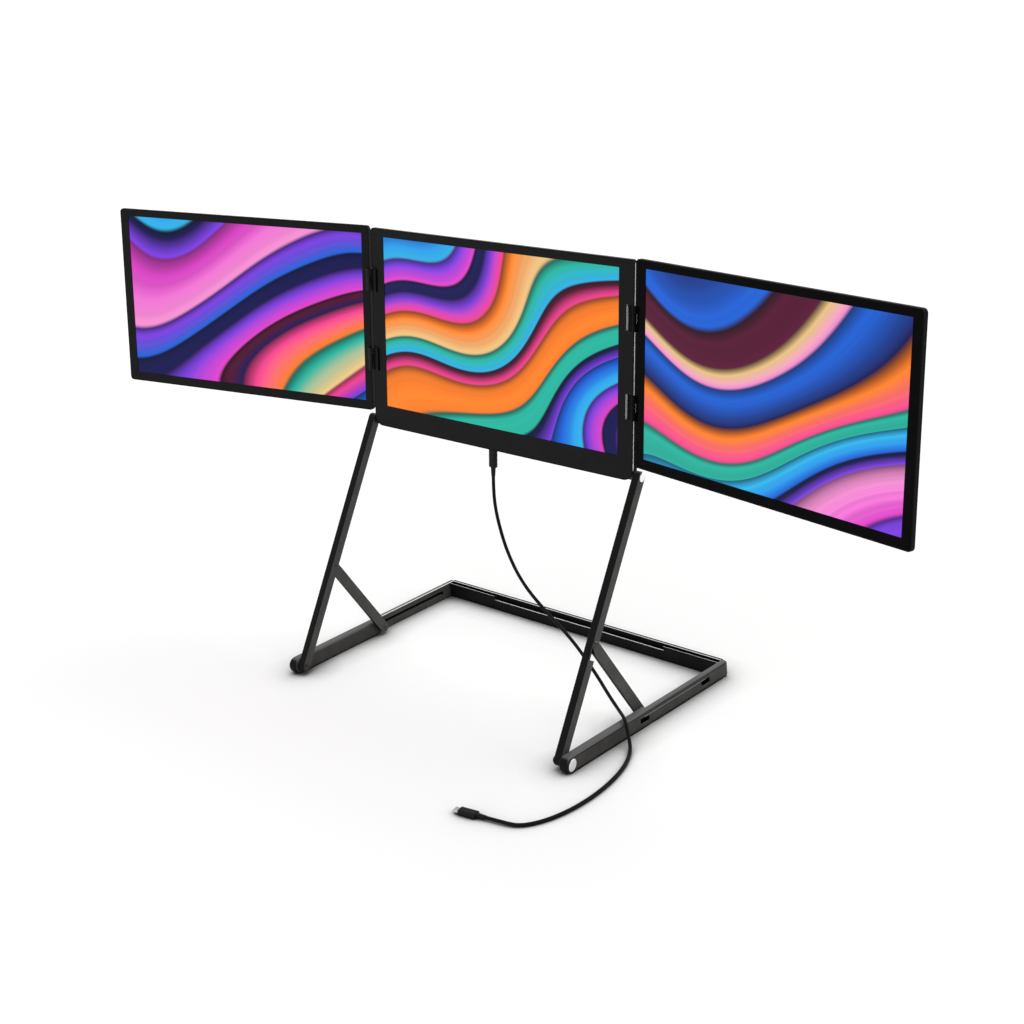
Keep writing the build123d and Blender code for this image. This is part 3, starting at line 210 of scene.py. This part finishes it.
RIGHT_FLOW = {"seed": 5.2, "direction": (0.6, -0.7, 0), "turns": 0.32}

arm_rise = math.radians(ARM_ANGLE)
lean = math.radians(CENTRE_LEAN)
face_normal = Vector((0, -math.cos(lean), math.sin(lean)))
face_up = Vector((0, math.sin(lean), math.cos(lean)))
tilt_y = LOWER_PIVOT_Y + ARM_LENGTH * math.cos(arm_rise)
tilt_z = LOWER_PIVOT_Z + ARM_LENGTH * math.sin(arm_rise)
tilt_pivot = Vector((0, tilt_y, tilt_z))
screen_middle = tilt_pivot + face_up * PIVOT_BELOW_MIDDLE + face_normal * PIVOT_BEHIND_FACE


def on_face(x, y, z):
    """Point on the centre screen: across, up the screen, and out of its face."""
    return screen_middle + Vector((x, 0, 0)) + face_up * y + face_normal * z


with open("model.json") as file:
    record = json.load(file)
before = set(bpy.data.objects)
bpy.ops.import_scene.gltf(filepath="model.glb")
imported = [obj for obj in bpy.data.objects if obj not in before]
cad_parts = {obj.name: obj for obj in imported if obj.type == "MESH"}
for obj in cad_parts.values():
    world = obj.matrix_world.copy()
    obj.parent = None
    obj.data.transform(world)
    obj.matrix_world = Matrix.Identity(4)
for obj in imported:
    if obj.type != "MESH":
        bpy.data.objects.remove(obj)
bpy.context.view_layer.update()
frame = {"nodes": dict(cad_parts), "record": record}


# ---------------------------------------------------------------- camera
def make_camera():
    yaw = math.radians(CAMERA_YAW)
    pitch = math.radians(CAMERA_PITCH)
    roll = math.radians(CAMERA_ROLL)
    ahead = math.cos(pitch)
    forward = Vector((-math.sin(yaw) * ahead, math.cos(yaw) * ahead, -math.sin(pitch)))
    level = Vector((math.cos(yaw), math.sin(yaw), 0))
    down = forward.cross(level)
    right = math.cos(roll) * level + math.sin(roll) * down
    image_down = -math.sin(roll) * level + math.cos(roll) * down
    data = bpy.data.cameras.new("camera")
    data.sensor_width = SENSOR_WIDTH
    data.lens = FOCAL_PIXELS / IMAGE_PIXELS * SENSOR_WIDTH
    data.clip_end = CAMERA_REACH
    camera = bpy.data.objects.new("camera", data)
    axes = Matrix((right, -image_down, -forward)).transposed()
    camera.matrix_world = Matrix.Translation(CAMERA_PLACE) @ axes.to_4x4()
    bpy.context.collection.objects.link(camera)
    bpy.context.scene.camera = camera


# ---------------------------------------------------------------- cable
def cable_points():
    """The cable's route: down from the screen's port, over the right rail and along the table."""
    exit_height = -SCREEN_HEIGHT / 2 - CENTRE_CHIN - PLUG_AND_RELIEF - CABLE_END_GAP
    points = [on_face(PORT_X, exit_height, -PORT_MIDDLE_DEPTH)]
    for from_x, route in ((PORT_X, ROUTE_FROM_PORT), (RAIL_OUTER_X, ROUTE_FROM_RAIL)):
        points += [Vector((from_x + x, LOWER_PIVOT_Y + y, z)) for x, y, z in route]
    plug_x = RAIL_OUTER_X - LAPTOP_PLUG_INSIDE_RAIL
    plug = Vector((plug_x, LOWER_PIVOT_Y - LAPTOP_PLUG_BEFORE_PIVOT, LAPTOP_PLUG_Z))
    turn = math.radians(LAPTOP_PLUG_TURN)
    points.append(plug + Vector((math.cos(turn), math.sin(turn), 0)) * CABLE_LAST_RUN)
    points.append(plug)
    return points


def curve_through(name, kind, points):
    data = bpy.data.curves.new(name, "CURVE")
    data.dimensions = "3D"
    data.resolution_u = CABLE_STEPS
    spline = data.splines.new(kind)
    spline.points.add(len(points) - 1)
    for target, point in zip(spline.points, points):
        target.co = (*point, 1)
    spline.order_u = 3
    spline.use_endpoint_u = True
    return bpy.data.objects.new(name, data)


def smooth_line(points):
    """Points along the smooth line that has the route's points as its control points."""
    route = curve_through("usb_cable_route", "NURBS", points)
    return [vertex.co.copy() for vertex in bpy.data.meshes.new_from_object(route).vertices]


def tube_along(name, line, jacket):
    """Round tube that follows a line, with closed ends."""
    route = curve_through(name + "_route", "POLY", line)
    route.data.bevel_depth = CABLE_RADIUS
    route.data.bevel_resolution = CABLE_ROUNDNESS
    route.data.use_fill_caps = True
    mesh = bpy.data.meshes.new_from_object(route)
    mesh.shade_smooth()
    mesh.materials.clear()
    mesh.materials.append(jacket)
    tube = bpy.data.objects.new(name, mesh)
    bpy.context.collection.objects.link(tube)
    return tube


def stretch_of_cable(name, line, jacket):
    """One stretch of the cable: a tube along its line, with the CAD cable hidden."""
    cable = tube_along(name, line, jacket)
    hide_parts("usb_cable")
    return cable


def make_cable(jacket):
    """The cable lies on the rail and table and hangs from the arms, in a lead and a flex."""
    points = cable_points()
    line = smooth_line(points)
    split = next(number for number, point in enumerate(line) if point.z < CABLE_LEAD_END_Z)
    lead = stretch_of_cable(
        "usb_cable_lead",
        line[: split + 1],
        jacket,
    )
    flex = stretch_of_cable(
        "usb_cable_flex",
        line[split:],
        jacket,
    )
    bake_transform(lead)
    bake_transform(flex)


# ---------------------------------------------------------------- shader nodes
class Nodes:
    """Small helper that adds linked shader nodes to one material."""

    def __init__(self, name, colour, roughness, metallic=0.0):
        self.material = bpy.data.materials.new(name)
        self.material.use_nodes = True
        self.tree = self.material.node_tree
        self.shader = self.tree.nodes["Principled BSDF"]
        self.shader.inputs["Base Color"].default_value = (*colour, 1)
        self.shader.inputs["Roughness"].default_value = roughness
        self.shader.inputs["Metallic"].default_value = metallic
        coordinates = self.tree.nodes.new("ShaderNodeTexCoord")
        self.place = coordinates.outputs["Object"]
        self.facing = coordinates.outputs["Normal"]

    def add(self, kind, **settings):
        node = self.tree.nodes.new(kind)
        for key, value in settings.items():
            setattr(node, key, value)
        return node

    def link(self, source, target):
        self.tree.links.new(source, target)

    def noise(self, scale, stretch=(1, 1, 1), detail=3.0):
        """Noise over the object's own coordinates, finer along the larger stretch."""
        mapping = self.add("ShaderNodeMapping")
        mapping.inputs["Scale"].default_value = stretch
        self.link(self.place, mapping.inputs["Vector"])
        noise = self.add("ShaderNodeTexNoise")
        noise.inputs["Scale"].default_value = scale
        noise.inputs["Detail"].default_value = detail
        self.link(mapping.outputs["Vector"], noise.inputs["Vector"])
        return noise.outputs["Fac"]

    def spread(self, source, low, high, target):
        """Maps the range that noise mostly has onto low to high for one socket."""
        span = self.add("ShaderNodeMapRange")
        span.inputs["From Min"].default_value = NOISE_RANGE[0]
        span.inputs["From Max"].default_value = NOISE_RANGE[1]
        span.inputs["To Min"].default_value = low
        span.inputs["To Max"].default_value = high
        self.link(source, span.inputs["Value"])
        self.link(span.outputs["Result"], target)

    def uneven_roughness(self, source, roughness, less, more):
        self.spread(source, roughness - less, roughness + more, self.shader.inputs["Roughness"])

    def tint(self, source, dark, light):
        """Base colour that wanders between dark and light."""
        ramp = self.add("ShaderNodeValToRGB")
        for element, position, colour in zip(ramp.color_ramp.elements, NOISE_RANGE, (dark, light)):
            element.position = position
            element.color = (*colour, 1)
        self.link(source, ramp.inputs["Fac"])
        self.link(ramp.outputs["Color"], self.shader.inputs["Base Color"])

    def bump(self, source, strength, distance):
        bump = self.add("ShaderNodeBump")
        bump.inputs["Strength"].default_value = strength
        bump.inputs["Distance"].default_value = distance
        self.link(source, bump.inputs["Height"])
        self.link(bump.outputs["Normal"], self.shader.inputs["Normal"])


def combine(nodes, operation, first, second):
    node = nodes.add("ShaderNodeMath", operation=operation)
    for socket, value in zip(node.inputs, (first, second)):
        if isinstance(value, float):
            socket.default_value = value
        else:
            nodes.link(value, socket)
    return node.outputs[0]


def unsigned(nodes, value):
    return combine(nodes, "ABSOLUTE", value, 0.0)


def within(nodes, value, low, high):
    """1 where a number lies between low and high, else 0."""
    node = nodes.add("ShaderNodeMath", operation="COMPARE")
    nodes.link(value, node.inputs[0])
    node.inputs[1].default_value = (low + high) / 2
    node.inputs[2].default_value = (high - low) / 2
    return node.outputs[0]


def all_of(nodes, *masks):
    """1 where every mask is 1."""
    result = masks[0]
    for mask in masks[1:]:
        result = combine(nodes, "MULTIPLY", result, mask)
    return result


def outside(nodes, mask):
    """1 where the mask is 0."""
    return combine(nodes, "SUBTRACT", 1.0, mask)


def rise_between(nodes, value, start, end):
    """0 before the start, 1 after the end, and a straight rise between."""
    span = nodes.add("ShaderNodeMapRange")
    span.inputs["From Min"].default_value = start
    span.inputs["From Max"].default_value = end
    nodes.link(value, span.inputs["Value"])
    return span.outputs["Result"]


def parts_of(nodes, vector):
    """The X, Y and Z parts of a place or a direction."""
    node = nodes.add("ShaderNodeSeparateXYZ")
    nodes.link(vector, node.inputs[0])
    return node.outputs


def offset_from(nodes, origin):
    """Place as seen from a point of the part."""
    node = nodes.add("ShaderNodeVectorMath", operation="SUBTRACT")
    nodes.link(nodes.place, node.inputs[0])
    node.inputs[1].default_value = origin
    return node.outputs[0]


def along_line(nodes, place, direction):
    """How far a point lies along a direction, as one number."""
    node = nodes.add("ShaderNodeVectorMath", operation="DOT_PRODUCT")
    nodes.link(place, node.inputs[0])
    node.inputs[1].default_value = direction
    return node.outputs["Value"]


def lay_over(nodes, mask, socket_name, kind, above):
    """Lays a value over what the shader's socket has, where the mask is 1."""
    socket = nodes.shader.inputs[socket_name]
    mix = nodes.add("ShaderNodeMix", data_type=kind)
    nodes.link(mask, mix.inputs["Factor"])
    if socket.is_linked:
        nodes.link(socket.links[0].from_socket, mix.inputs["A"])
    else:
        mix.inputs["A"].default_value = socket.default_value
    mix.inputs["B"].default_value = above
    nodes.link(mix.outputs["Result"], socket)


def paint(nodes, mask, shade, gloss, metallic=0.0):
    """Gives the faces that the mask picks another grey, reflection and metal share."""
    lay_over(nodes, mask, "Base Color", "RGBA", (shade, shade, shade, 1))
    lay_over(nodes, mask, "Specular IOR Level", "FLOAT", gloss)
    if metallic:
        lay_over(nodes, mask, "Metallic", "FLOAT", metallic)


# ---------------------------------------------------------------- finishes
def satin(nodes, gloss):
    """Low, soft reflection of a black or dark finish."""
    nodes.shader.inputs["Specular IOR Level"].default_value = gloss


def anodised(name, dark, light, roughness=0.42, gloss=0.3):
    """Bead-blasted, anodised aluminium: fine grain, slightly uneven sheen."""
    nodes = Nodes(name, light, roughness)
    satin(nodes, gloss)
    nodes.tint(nodes.noise(scale=60), dark, light)
    nodes.uneven_roughness(nodes.noise(scale=900, detail=2.0), roughness, less=0.06, more=0.08)
    nodes.bump(nodes.noise(scale=2600, detail=1.0), strength=0.12, distance=0.0002)
    return nodes


def moulded(name, dark, light, roughness, gloss=0.3):
    """Moulded plastic or rubber with a fine spark-eroded grain."""
    nodes = Nodes(name, light, roughness)
    satin(nodes, gloss)
    nodes.tint(nodes.noise(scale=80), dark, light)
    nodes.uneven_roughness(nodes.noise(scale=500), roughness, less=0.05, more=0.07)
    nodes.bump(nodes.noise(scale=1800, detail=1.0), strength=0.1, distance=0.0002)
    return nodes


def polished(name, colour, roughness, stretch=(1, 1, 1)):
    """Plated or turned metal; a stretch along one axis draws its marks out into lines across it."""
    nodes = Nodes(name, colour, roughness, metallic=1.0)
    dark = tuple(DARKEST_METAL_SHARE * part for part in colour)
    nodes.tint(nodes.noise(scale=500, stretch=stretch), dark, colour)
    nodes.uneven_roughness(nodes.noise(scale=900, stretch=stretch), roughness, less=0.05, more=0.08)
    nodes.bump(nodes.noise(scale=1500, stretch=stretch), strength=0.08, distance=0.0001)
    return nodes


def grey(dark, light):
    return (dark, dark, dark), (light, light, light)


def paint_front_shade(nodes):
    """Painted shade: faces turned towards the front, -y, get a darker, duller grey."""
    front_shade = rise_between(nodes, parts_of(nodes, nodes.facing)["Y"], start=-0.3, end=-0.6)
    # Painted shade on the faces turned towards the front.
    paint(nodes, front_shade, shade=0.009, gloss=0.04)


def screen_cover():
    """Anodised back; every face that doesn't look backwards, the thin side walls among them, gets painted
    shade in a duller near-black.
    """
    nodes = anodised("cover_black_anodised", *grey(0.012, 0.017), gloss=0.3)
    not_backwards_shade = rise_between(nodes, parts_of(nodes, nodes.facing)["Y"], start=0.35, end=0.2)
    # Painted shade on every face that doesn't look backwards.
    paint(nodes, not_backwards_shade, shade=0.004, gloss=0.05)
    return nodes


def arms_and_struts():
    """Dark grey sides, with painted shade on the front faces."""
    nodes = anodised("arm_dark_anodised", *ARM_GREYS, gloss=0.14)
    # Painted shade on the front faces.
    paint_front_shade(nodes)
    return nodes


def hinges():
    """Black zinc; the left-hand pair gets painted light, as grey and glossy as the bezel beside it."""
    nodes = anodised("hinge_black_zinc", *grey(0.0015, 0.003), roughness=0.36, gloss=0.05)
    left_hand_light = within(nodes, parts_of(nodes, nodes.place)["X"], -FAR, 0.0)
    # Painted light on the left-hand hinges.
    paint(nodes, left_hand_light, shade=0.008, gloss=0.13)
    return nodes


def side_rails():
    """Painted light on the tops, painted shade in the recesses and on the front, a painted highlight over
    the seam and a painted highlight in bright metal on the rear inner edge.
    """
    nodes = anodised("side_rail_anodised", *RAIL_GREYS, gloss=0.12)
    place = parts_of(nodes, nodes.place)
    facing = parts_of(nodes, nodes.facing)
    away = unsigned(nodes, place["X"])
    sideways = within(nodes, unsigned(nodes, facing["X"]), *FACING)
    # Painted light: faces turned upwards are paler and glossier.
    paint(nodes, rise_between(nodes, facing["Z"], start=0.2, end=0.9), shade=0.105, gloss=0.17)
    # Painted shade on the front faces.
    paint_front_shade(nodes)

    # Painted shade: the floors of the windows and of the seam are near-black and without reflection.
    recess_shade = within(nodes, away, RAIL_OUTER_X - RECESS_DEPTH, RAIL_OUTER_X - FACE_SLACK)
    paint(nodes, all_of(nodes, sideways, recess_shade), shade=0.0005, gloss=0.0)

    # Painted highlight: a pale line over the seam, between the windows.
    windows = (LOWER_PIVOT_Y + FRONT_WINDOW_FROM_PIVOT, LOWER_PIVOT_Y + REAR_WINDOW_FROM_PIVOT)
    over_seam = within(nodes, place["Z"], SEAM_TOP_Z, SEAM_TOP_Z + SEAM_HIGHLIGHT_HEIGHT)
    on_outside = within(nodes, away, RAIL_OUTER_X - FACE_SLACK, FAR)
    seam_highlight = all_of(nodes, sideways, within(nodes, place["Y"], *windows), over_seam, on_outside)
    paint(nodes, seam_highlight, shade=0.3, gloss=0.3)

    # Painted highlight in bright metal along the chamfer of the rear inner edge.
    edge_end = RAIL_REAR_INNER_X + RAIL_REAR_INNER_EDGE + FACE_SLACK
    on_edge = within(nodes, away, RAIL_REAR_INNER_X - FACE_SLACK, edge_end)
    behind_step = within(nodes, place["Y"], LOWER_PIVOT_Y + RAIL_STEP_FROM_PIVOT, FAR)
    inner_edge_highlight = all_of(nodes, within(nodes, facing["Z"], *SLANTED), on_edge, behind_step)
    paint(nodes, inner_edge_highlight, shade=0.6, gloss=0.5, metallic=0.8)
    return nodes


def cross_rail():
    """Painted shade: black all over and darker still on the tops; painted highlights in bright metal on
    the lip and on the rear wall's front edge.
    """
    # Painted shade: the whole rail is near-black, much darker than the side rails, as it faces the front.
    nodes = anodised("cross_rail_painted_shade", *grey(0.005, 0.008), gloss=0.06)
    height = parts_of(nodes, nodes.place)["Z"]
    facing = parts_of(nodes, nodes.facing)
    upwards = within(nodes, facing["Z"], *FACING)
    # Painted shade on the tops of the end blocks and the rear wall.
    tops_shade = all_of(nodes, upwards, within(nodes, height, *CROSS_RAIL_TOPS))
    paint(nodes, tops_shade, shade=0.002, gloss=0.0)
    # Painted highlight in bright metal on the lip.
    on_lip = within(nodes, height, CHANNEL_LIP_Z - WALL_SLACK, CHANNEL_LIP_Z + WALL_SLACK)
    paint(nodes, all_of(nodes, upwards, on_lip), shade=0.9, gloss=0.5, metallic=0.9)
    # Painted highlight in bright metal on the rear wall's front edge.
    slanted_forwards = within(nodes, facing["Y"], -SLANTED[1], -SLANTED[0])
    wall_edge_highlight = all_of(nodes, slanted_forwards, within(nodes, height, *REAR_WALL_EDGE))
    paint(nodes, wall_edge_highlight, shade=0.9, gloss=0.5, metallic=0.9)
    return nodes


def right_pocket_walls(nodes):
    """Inner walls of the right-hand hinge pockets."""
    wall_x = CENTRE_HALF_WIDTH - CENTRE_POCKET_WIDTH
    return within(nodes, parts_of(nodes, nodes.place)["X"], wall_x - WALL_SLACK, wall_x + WALL_SLACK)


def side_wall_highlight(nodes):
    """Band along the centre cover's sides for a painted highlight, except beside the hinges."""
    offset = offset_from(nodes, screen_middle)
    away = unsigned(nodes, parts_of(nodes, nodes.place)["X"])
    behind_face = along_line(nodes, offset, -face_normal)
    on_side = within(nodes, away, CENTRE_HALF_WIDTH - WALL_SLACK, FAR)
    highlight_band = all_of(nodes, within(nodes, behind_face, *HIGHLIGHT_BEHIND_FACE), on_side)
    height = along_line(nodes, offset, face_up)
    for middle in HINGE_HEIGHTS:
        pocket = (middle - HINGE_POCKET_HALF_LENGTH, middle + HINGE_POCKET_HALF_LENGTH)
        highlight_band = all_of(nodes, highlight_band, outside(nodes, within(nodes, height, *pocket)))
    return highlight_band


def centre_cover():
    """Painted highlights along the side walls and on the right-hand pocket walls, and painted light on
    the top edge.
    """
    nodes = screen_cover()
    facing = parts_of(nodes, nodes.facing)
    side_wall = within(nodes, unsigned(nodes, facing["X"]), *SQUARELY_FACING)
    # Painted highlight in bright metal along the side walls.
    paint(nodes, all_of(nodes, side_wall, side_wall_highlight(nodes)), shade=0.7, gloss=0.5, metallic=0.8)
    # Painted highlight on the right-hand pocket walls.
    paint(nodes, all_of(nodes, side_wall, right_pocket_walls(nodes)), shade=0.95, gloss=0.5)
    # Painted light: the top edge is paler.
    paint(nodes, within(nodes, facing["Z"], *SQUARELY_FACING), shade=0.06, gloss=0.1)
    return nodes


def centre_bezel():
    """Painted highlights on the walls where the right-hand hinge pockets cut through the bezel."""
    nodes = moulded("centre_bezel_black", *grey(0.003, 0.005), roughness=0.5, gloss=0.11)
    towards_right = within(nodes, parts_of(nodes, nodes.facing)["X"], *FACING)
    # Painted highlight on the right-hand pocket walls.
    paint(nodes, all_of(nodes, towards_right, right_pocket_walls(nodes)), shade=0.95, gloss=0.5)
    return nodes


def right_wing_bezel():
    """Painted shade: the darkest and dullest of the bezels, which is seen at the lowest angle."""
    # Painted shade: darker and less glossy than the other bezels.
    return moulded("right_bezel_shaded", *grey(0.0015, 0.003), roughness=0.5, gloss=0.025)


# ---------------------------------------------------------------- lit screens
def wing_picture_place(side, degrees, lift, inner_bezel):
    """Middle and right-hand direction of a wing's lit area."""
    angle = math.radians(degrees)
    along = Vector((side * math.cos(angle), 0, 0)) + face_normal * math.sin(angle)
    outwards = face_normal * math.cos(angle) - Vector((side * math.sin(angle), 0, 0))
    hinge = on_face(side * (CENTRE_HALF_WIDTH + HINGE_HALF_GAP), WING_RISE, lift)
    middle = hinge + along * (HINGE_HALF_GAP + inner_bezel + SCREEN_WIDTH / 2) - outwards * lift
    return middle, along * side


def screen_place(nodes, middle, across, seed):
    """Place on the lit area: x across and y up in screen heights from its middle, z a fixed seed."""
    offset = offset_from(nodes, middle)
    place = nodes.add("ShaderNodeCombineXYZ")
    per_height = 1 / SCREEN_HEIGHT
    nodes.link(along_line(nodes, offset, across * per_height), place.inputs[0])
    nodes.link(along_line(nodes, offset, face_up * per_height), place.inputs[1])
    place.inputs[2].default_value = seed
    return place.outputs[0]


def winding_distance(nodes, place, direction):
    """How far a point lies along a direction, on a picture that swirling noise pulls out of shape."""
    stretch = nodes.add("ShaderNodeVectorMath", operation="MULTIPLY")
    nodes.link(place, stretch.inputs[0])
    stretch.inputs[1].default_value = WARP_STRETCH
    warp = nodes.add("ShaderNodeTexNoise")
    warp.inputs["Scale"].default_value = 1.0
    warp.inputs["Detail"].default_value = 0.0
    warp.inputs["Distortion"].default_value = WARP_SWIRL
    nodes.link(stretch.outputs[0], warp.inputs["Vector"])
    pull = nodes.add("ShaderNodeVectorMath", operation="MULTIPLY_ADD")
    nodes.link(warp.outputs["Color"], pull.inputs[0])
    pull.inputs[1].default_value = (WARP_AMOUNT, WARP_AMOUNT, 0)
    nodes.link(place, pull.inputs[2])
    return along_line(nodes, pull.outputs[0], direction)


def ribbon_stops(ribbons):
    """Colour stops for ribbons that start in shadow and run from one colour to another."""
    total = sum(width for width, start, end in ribbons)
    place = 0.0
    stops = []
    for width, start, end in ribbons:
        share = width / total
        shadow = tuple(SHADOW_LEVEL * part for part in start)
        for at, colour in ((SHADOW_AT, shadow), (START_COLOUR_AT, start), (END_COLOUR_AT, end)):
            stops.append((place + at * share, colour))
        place += share
    return stops


def ramp_of(nodes, factor, stops):
    """Colour ramp with a stop at each place; its own two elements are the first and the last."""
    ramp = nodes.add("ShaderNodeValToRGB")
    elements = ramp.color_ramp.elements
    for position, colour in stops[1:-1]:
        elements.new(position).color = (*colour, 1)
    for number in (0, -1):
        position, colour = stops[number]
        elements[number].position = position
        elements[number].color = (*colour, 1)
    nodes.link(factor, ramp.inputs["Fac"])
    return ramp.outputs["Color"]


def streaked(nodes, colour, distance):
    """Colour with soft light and dark streaks that run along the ribbons."""
    streaks = nodes.add("ShaderNodeTexNoise", noise_dimensions="1D")
    streaks.inputs["Scale"].default_value = STREAKS_PER_HEIGHT
    nodes.link(distance, streaks.inputs["W"])
    sheen = nodes.add("ShaderNodeMix", data_type="RGBA", blend_type="MULTIPLY")
    sheen.inputs["Factor"].default_value = 1.0
    nodes.link(colour, sheen.inputs["A"])
    nodes.spread(streaks.outputs["Fac"], *SHEEN_LEVELS, sheen.inputs["B"])
    return sheen.outputs["Result"]


def picture(name, middle, across, ribbons, seed, direction, turns):
    """Display showing silky ribbons that wind across it, in so many turns per screen height."""
    nodes = Nodes(name, DISPLAY_BLACK, roughness=0.25)
    satin(nodes, gloss=0.1)
    distance = winding_distance(nodes, screen_place(nodes, middle, across, seed), direction)
    cycle = combine(nodes, "FRACT", combine(nodes, "MULTIPLY", distance, turns), 0.0)
    colour = ramp_of(nodes, cycle, ribbon_stops(ribbons))
    nodes.link(streaked(nodes, colour, distance), nodes.shader.inputs["Emission Color"])
    nodes.shader.inputs["Emission Strength"].default_value = 1.0
    return nodes


def left_picture():
    middle, across = wing_picture_place(-1, LEFT_FOLD, LEFT_HINGE_LIFT, LEFT_INNER_BEZEL)
    return picture("left_picture", middle, across, LEFT_RIBBONS, **LEFT_FLOW)


def centre_picture():
    return picture("centre_picture", screen_middle, Vector((1, 0, 0)), CENTRE_RIBBONS, **CENTRE_FLOW)


def right_picture():
    middle, across = wing_picture_place(1, RIGHT_FOLD, RIGHT_HINGE_LIFT, RIGHT_INNER_BEZEL)
    return picture("right_picture", middle, across, RIGHT_RIBBONS, **RIGHT_FLOW)


# ---------------------------------------------------------------- dressing
def finishes_by_slot():
    """Finish of each material slot of the record."""
    return {
        "screen_cover": screen_cover(),
        "screen_bezel": moulded("bezel_satin_black", *grey(0.003, 0.005), roughness=0.5, gloss=0.11),
        "backlight_plate": moulded("diffuser_white", *DIFFUSER_WHITES, roughness=0.6),
        "circuit_board": moulded("solder_mask_green", *BOARD_GREENS, roughness=0.4),
        "hinge_metal": hinges(),
        "screw_steel": polished("dark_plated_steel", PLATED_STEEL, roughness=0.36),
        "speaker_plastic": moulded("speaker_black", *grey(0.015, 0.025), roughness=0.55),
        "bright_steel": polished("nickel_plate", NICKEL, roughness=0.25, stretch=(8, 1, 1)),
        "arm_metal": arms_and_struts(),
        "foot_rubber": moulded("foot_rubber_black", *grey(0.004, 0.007), roughness=0.8, gloss=0.05),
        "cap_metal": polished("cap_polished", BRIGHT_METAL, roughness=0.3),
        "washer_plastic": moulded("washer_nylon", *grey(0.004, 0.008), roughness=0.5, gloss=0.1),
        "cable_jacket": moulded("jacket_black", *grey(0.003, 0.005), roughness=0.5, gloss=0.08),
        "plug_plastic": moulded("plug_black", *grey(0.004, 0.007), roughness=0.48, gloss=0.14),
        "button_plastic": moulded("button_black", *grey(0.01, 0.015), roughness=0.4),
    }


def finishes_by_node():
    """Finish of each node that has its own."""
    rails = side_rails()
    return {
        "side_rail_left": rails,
        "side_rail_right": rails,
        "cross_rail": cross_rail(),
        "centre_back_cover": centre_cover(),
        "centre_bezel": centre_bezel(),
        "right_wing_bezel": right_wing_bezel(),
        "left_wing_lcd": left_picture(),
        "centre_lcd": centre_picture(),
        "right_wing_lcd": right_picture(),
    }


def dress_nodes(of_slot, of_node):
    """Give every CAD node its own finish, or else that of its slot in the record."""
    for entry in frame["record"]["subparts"]:
        name = entry["node"]
        finish = of_node[name] if name in of_node else of_slot[entry["material_slot"]]
        materials = frame["nodes"][name].data.materials
        materials.clear()
        materials.append(finish.material)


# ---------------------------------------------------------------- room
def seen_directly(tree):
    """1 for what the camera, a gloss or a clear piece shows, and 0 for light on the object."""
    path = tree.nodes.new("ShaderNodeLightPath")
    factor = path.outputs["Is Camera Ray"]
    for output in ("Is Glossy Ray", "Is Transmission Ray"):
        larger = tree.nodes.new("ShaderNodeMath")
        larger.operation = "MAXIMUM"
        tree.links.new(factor, larger.inputs[0])
        tree.links.new(path.outputs[output], larger.inputs[1])
        factor = larger.outputs[0]
    return factor


def shown_or_lit(tree, lit, shown, output_kind):
    """One shader for what is seen directly, and another for the light on the object."""
    mix = tree.nodes.new("ShaderNodeMixShader")
    out = tree.nodes.new(output_kind)
    tree.links.new(seen_directly(tree), mix.inputs["Fac"])
    tree.links.new(lit.outputs[0], mix.inputs[1])
    tree.links.new(shown.outputs[0], mix.inputs[2])
    tree.links.new(mix.outputs[0], out.inputs["Surface"])


def make_floor():
    """Pale table top that looks white, keeps the object's shadow and has a painted contact shadow near
    the object.
    """
    bpy.ops.mesh.primitive_plane_add(size=TABLE_SIZE, location=(0, 0, -TABLE_BELOW_FEET))
    floor = bpy.context.object
    floor.name = "table_top"
    material = bpy.data.materials.new("table_white")
    material.use_nodes = True
    tree = material.node_tree
    tree.nodes.clear()
    # Painted contact shadow: the table darkens where ambient occlusion finds the object close by.
    nearness = tree.nodes.new("ShaderNodeAmbientOcclusion")
    nearness.samples = CONTACT_SAMPLES
    nearness.inputs["Distance"].default_value = CONTACT_REACH
    tint = tree.nodes.new("ShaderNodeValToRGB")
    shadow, open_table = tint.color_ramp.elements
    shadow.position = SHADOW_FULL_BELOW
    shadow.color = CONTACT_SHADOW
    open_table.position = SHADOW_NONE_ABOVE
    open_table.color = TABLE_WHITE
    tree.links.new(nearness.outputs["AO"], tint.inputs["Fac"])
    shown = tree.nodes.new("ShaderNodeBsdfDiffuse")
    tree.links.new(tint.outputs["Color"], shown.inputs["Color"])
    lit = tree.nodes.new("ShaderNodeBsdfDiffuse")
    lit.inputs["Color"].default_value = TABLE_AS_LIT
    shown_or_lit(tree, lit, shown, "ShaderNodeOutputMaterial")
    floor.data.materials.append(material)


def white_background(tree, strength):
    background = tree.nodes.new("ShaderNodeBackground")
    background.inputs["Color"].default_value = (1, 1, 1, 1)
    background.inputs["Strength"].default_value = strength
    return background


def make_world():
    """Even light at a plain level, and white where the background itself is seen."""
    world = bpy.data.worlds.new("world")
    bpy.context.scene.world = world
    world.use_nodes = True
    tree = world.node_tree
    tree.nodes.clear()
    lit = white_background(tree, WORLD_LEVEL)
    shown = white_background(tree, 1.0)
    shown_or_lit(tree, lit, shown, "ShaderNodeOutputWorld")


def make_sun(name, towards_lamp, level, spread):
    """Soft distant lamp; level is how bright it makes a white surface that faces it."""
    data = bpy.data.lights.new(name, "SUN")
    data.energy = level * math.pi
    data.angle = math.radians(spread)
    lamp = bpy.data.objects.new(name, data)
    lamp.rotation_euler = Vector(towards_lamp).to_track_quat("Z", "Y").to_euler()
    bpy.context.collection.objects.link(lamp)


of_slot = finishes_by_slot()
make_camera()
make_cable(of_slot["cable_jacket"].material)
dress_nodes(of_slot, finishes_by_node())
make_floor()
make_world()
make_sun("overhead", towards_lamp=(0.2, 0.35, 1), level=0.25, spread=60)
make_sun("side", towards_lamp=(1, 0.3, 0.5), level=0.14, spread=40)
bpy.context.scene.view_settings.view_transform = "Standard"
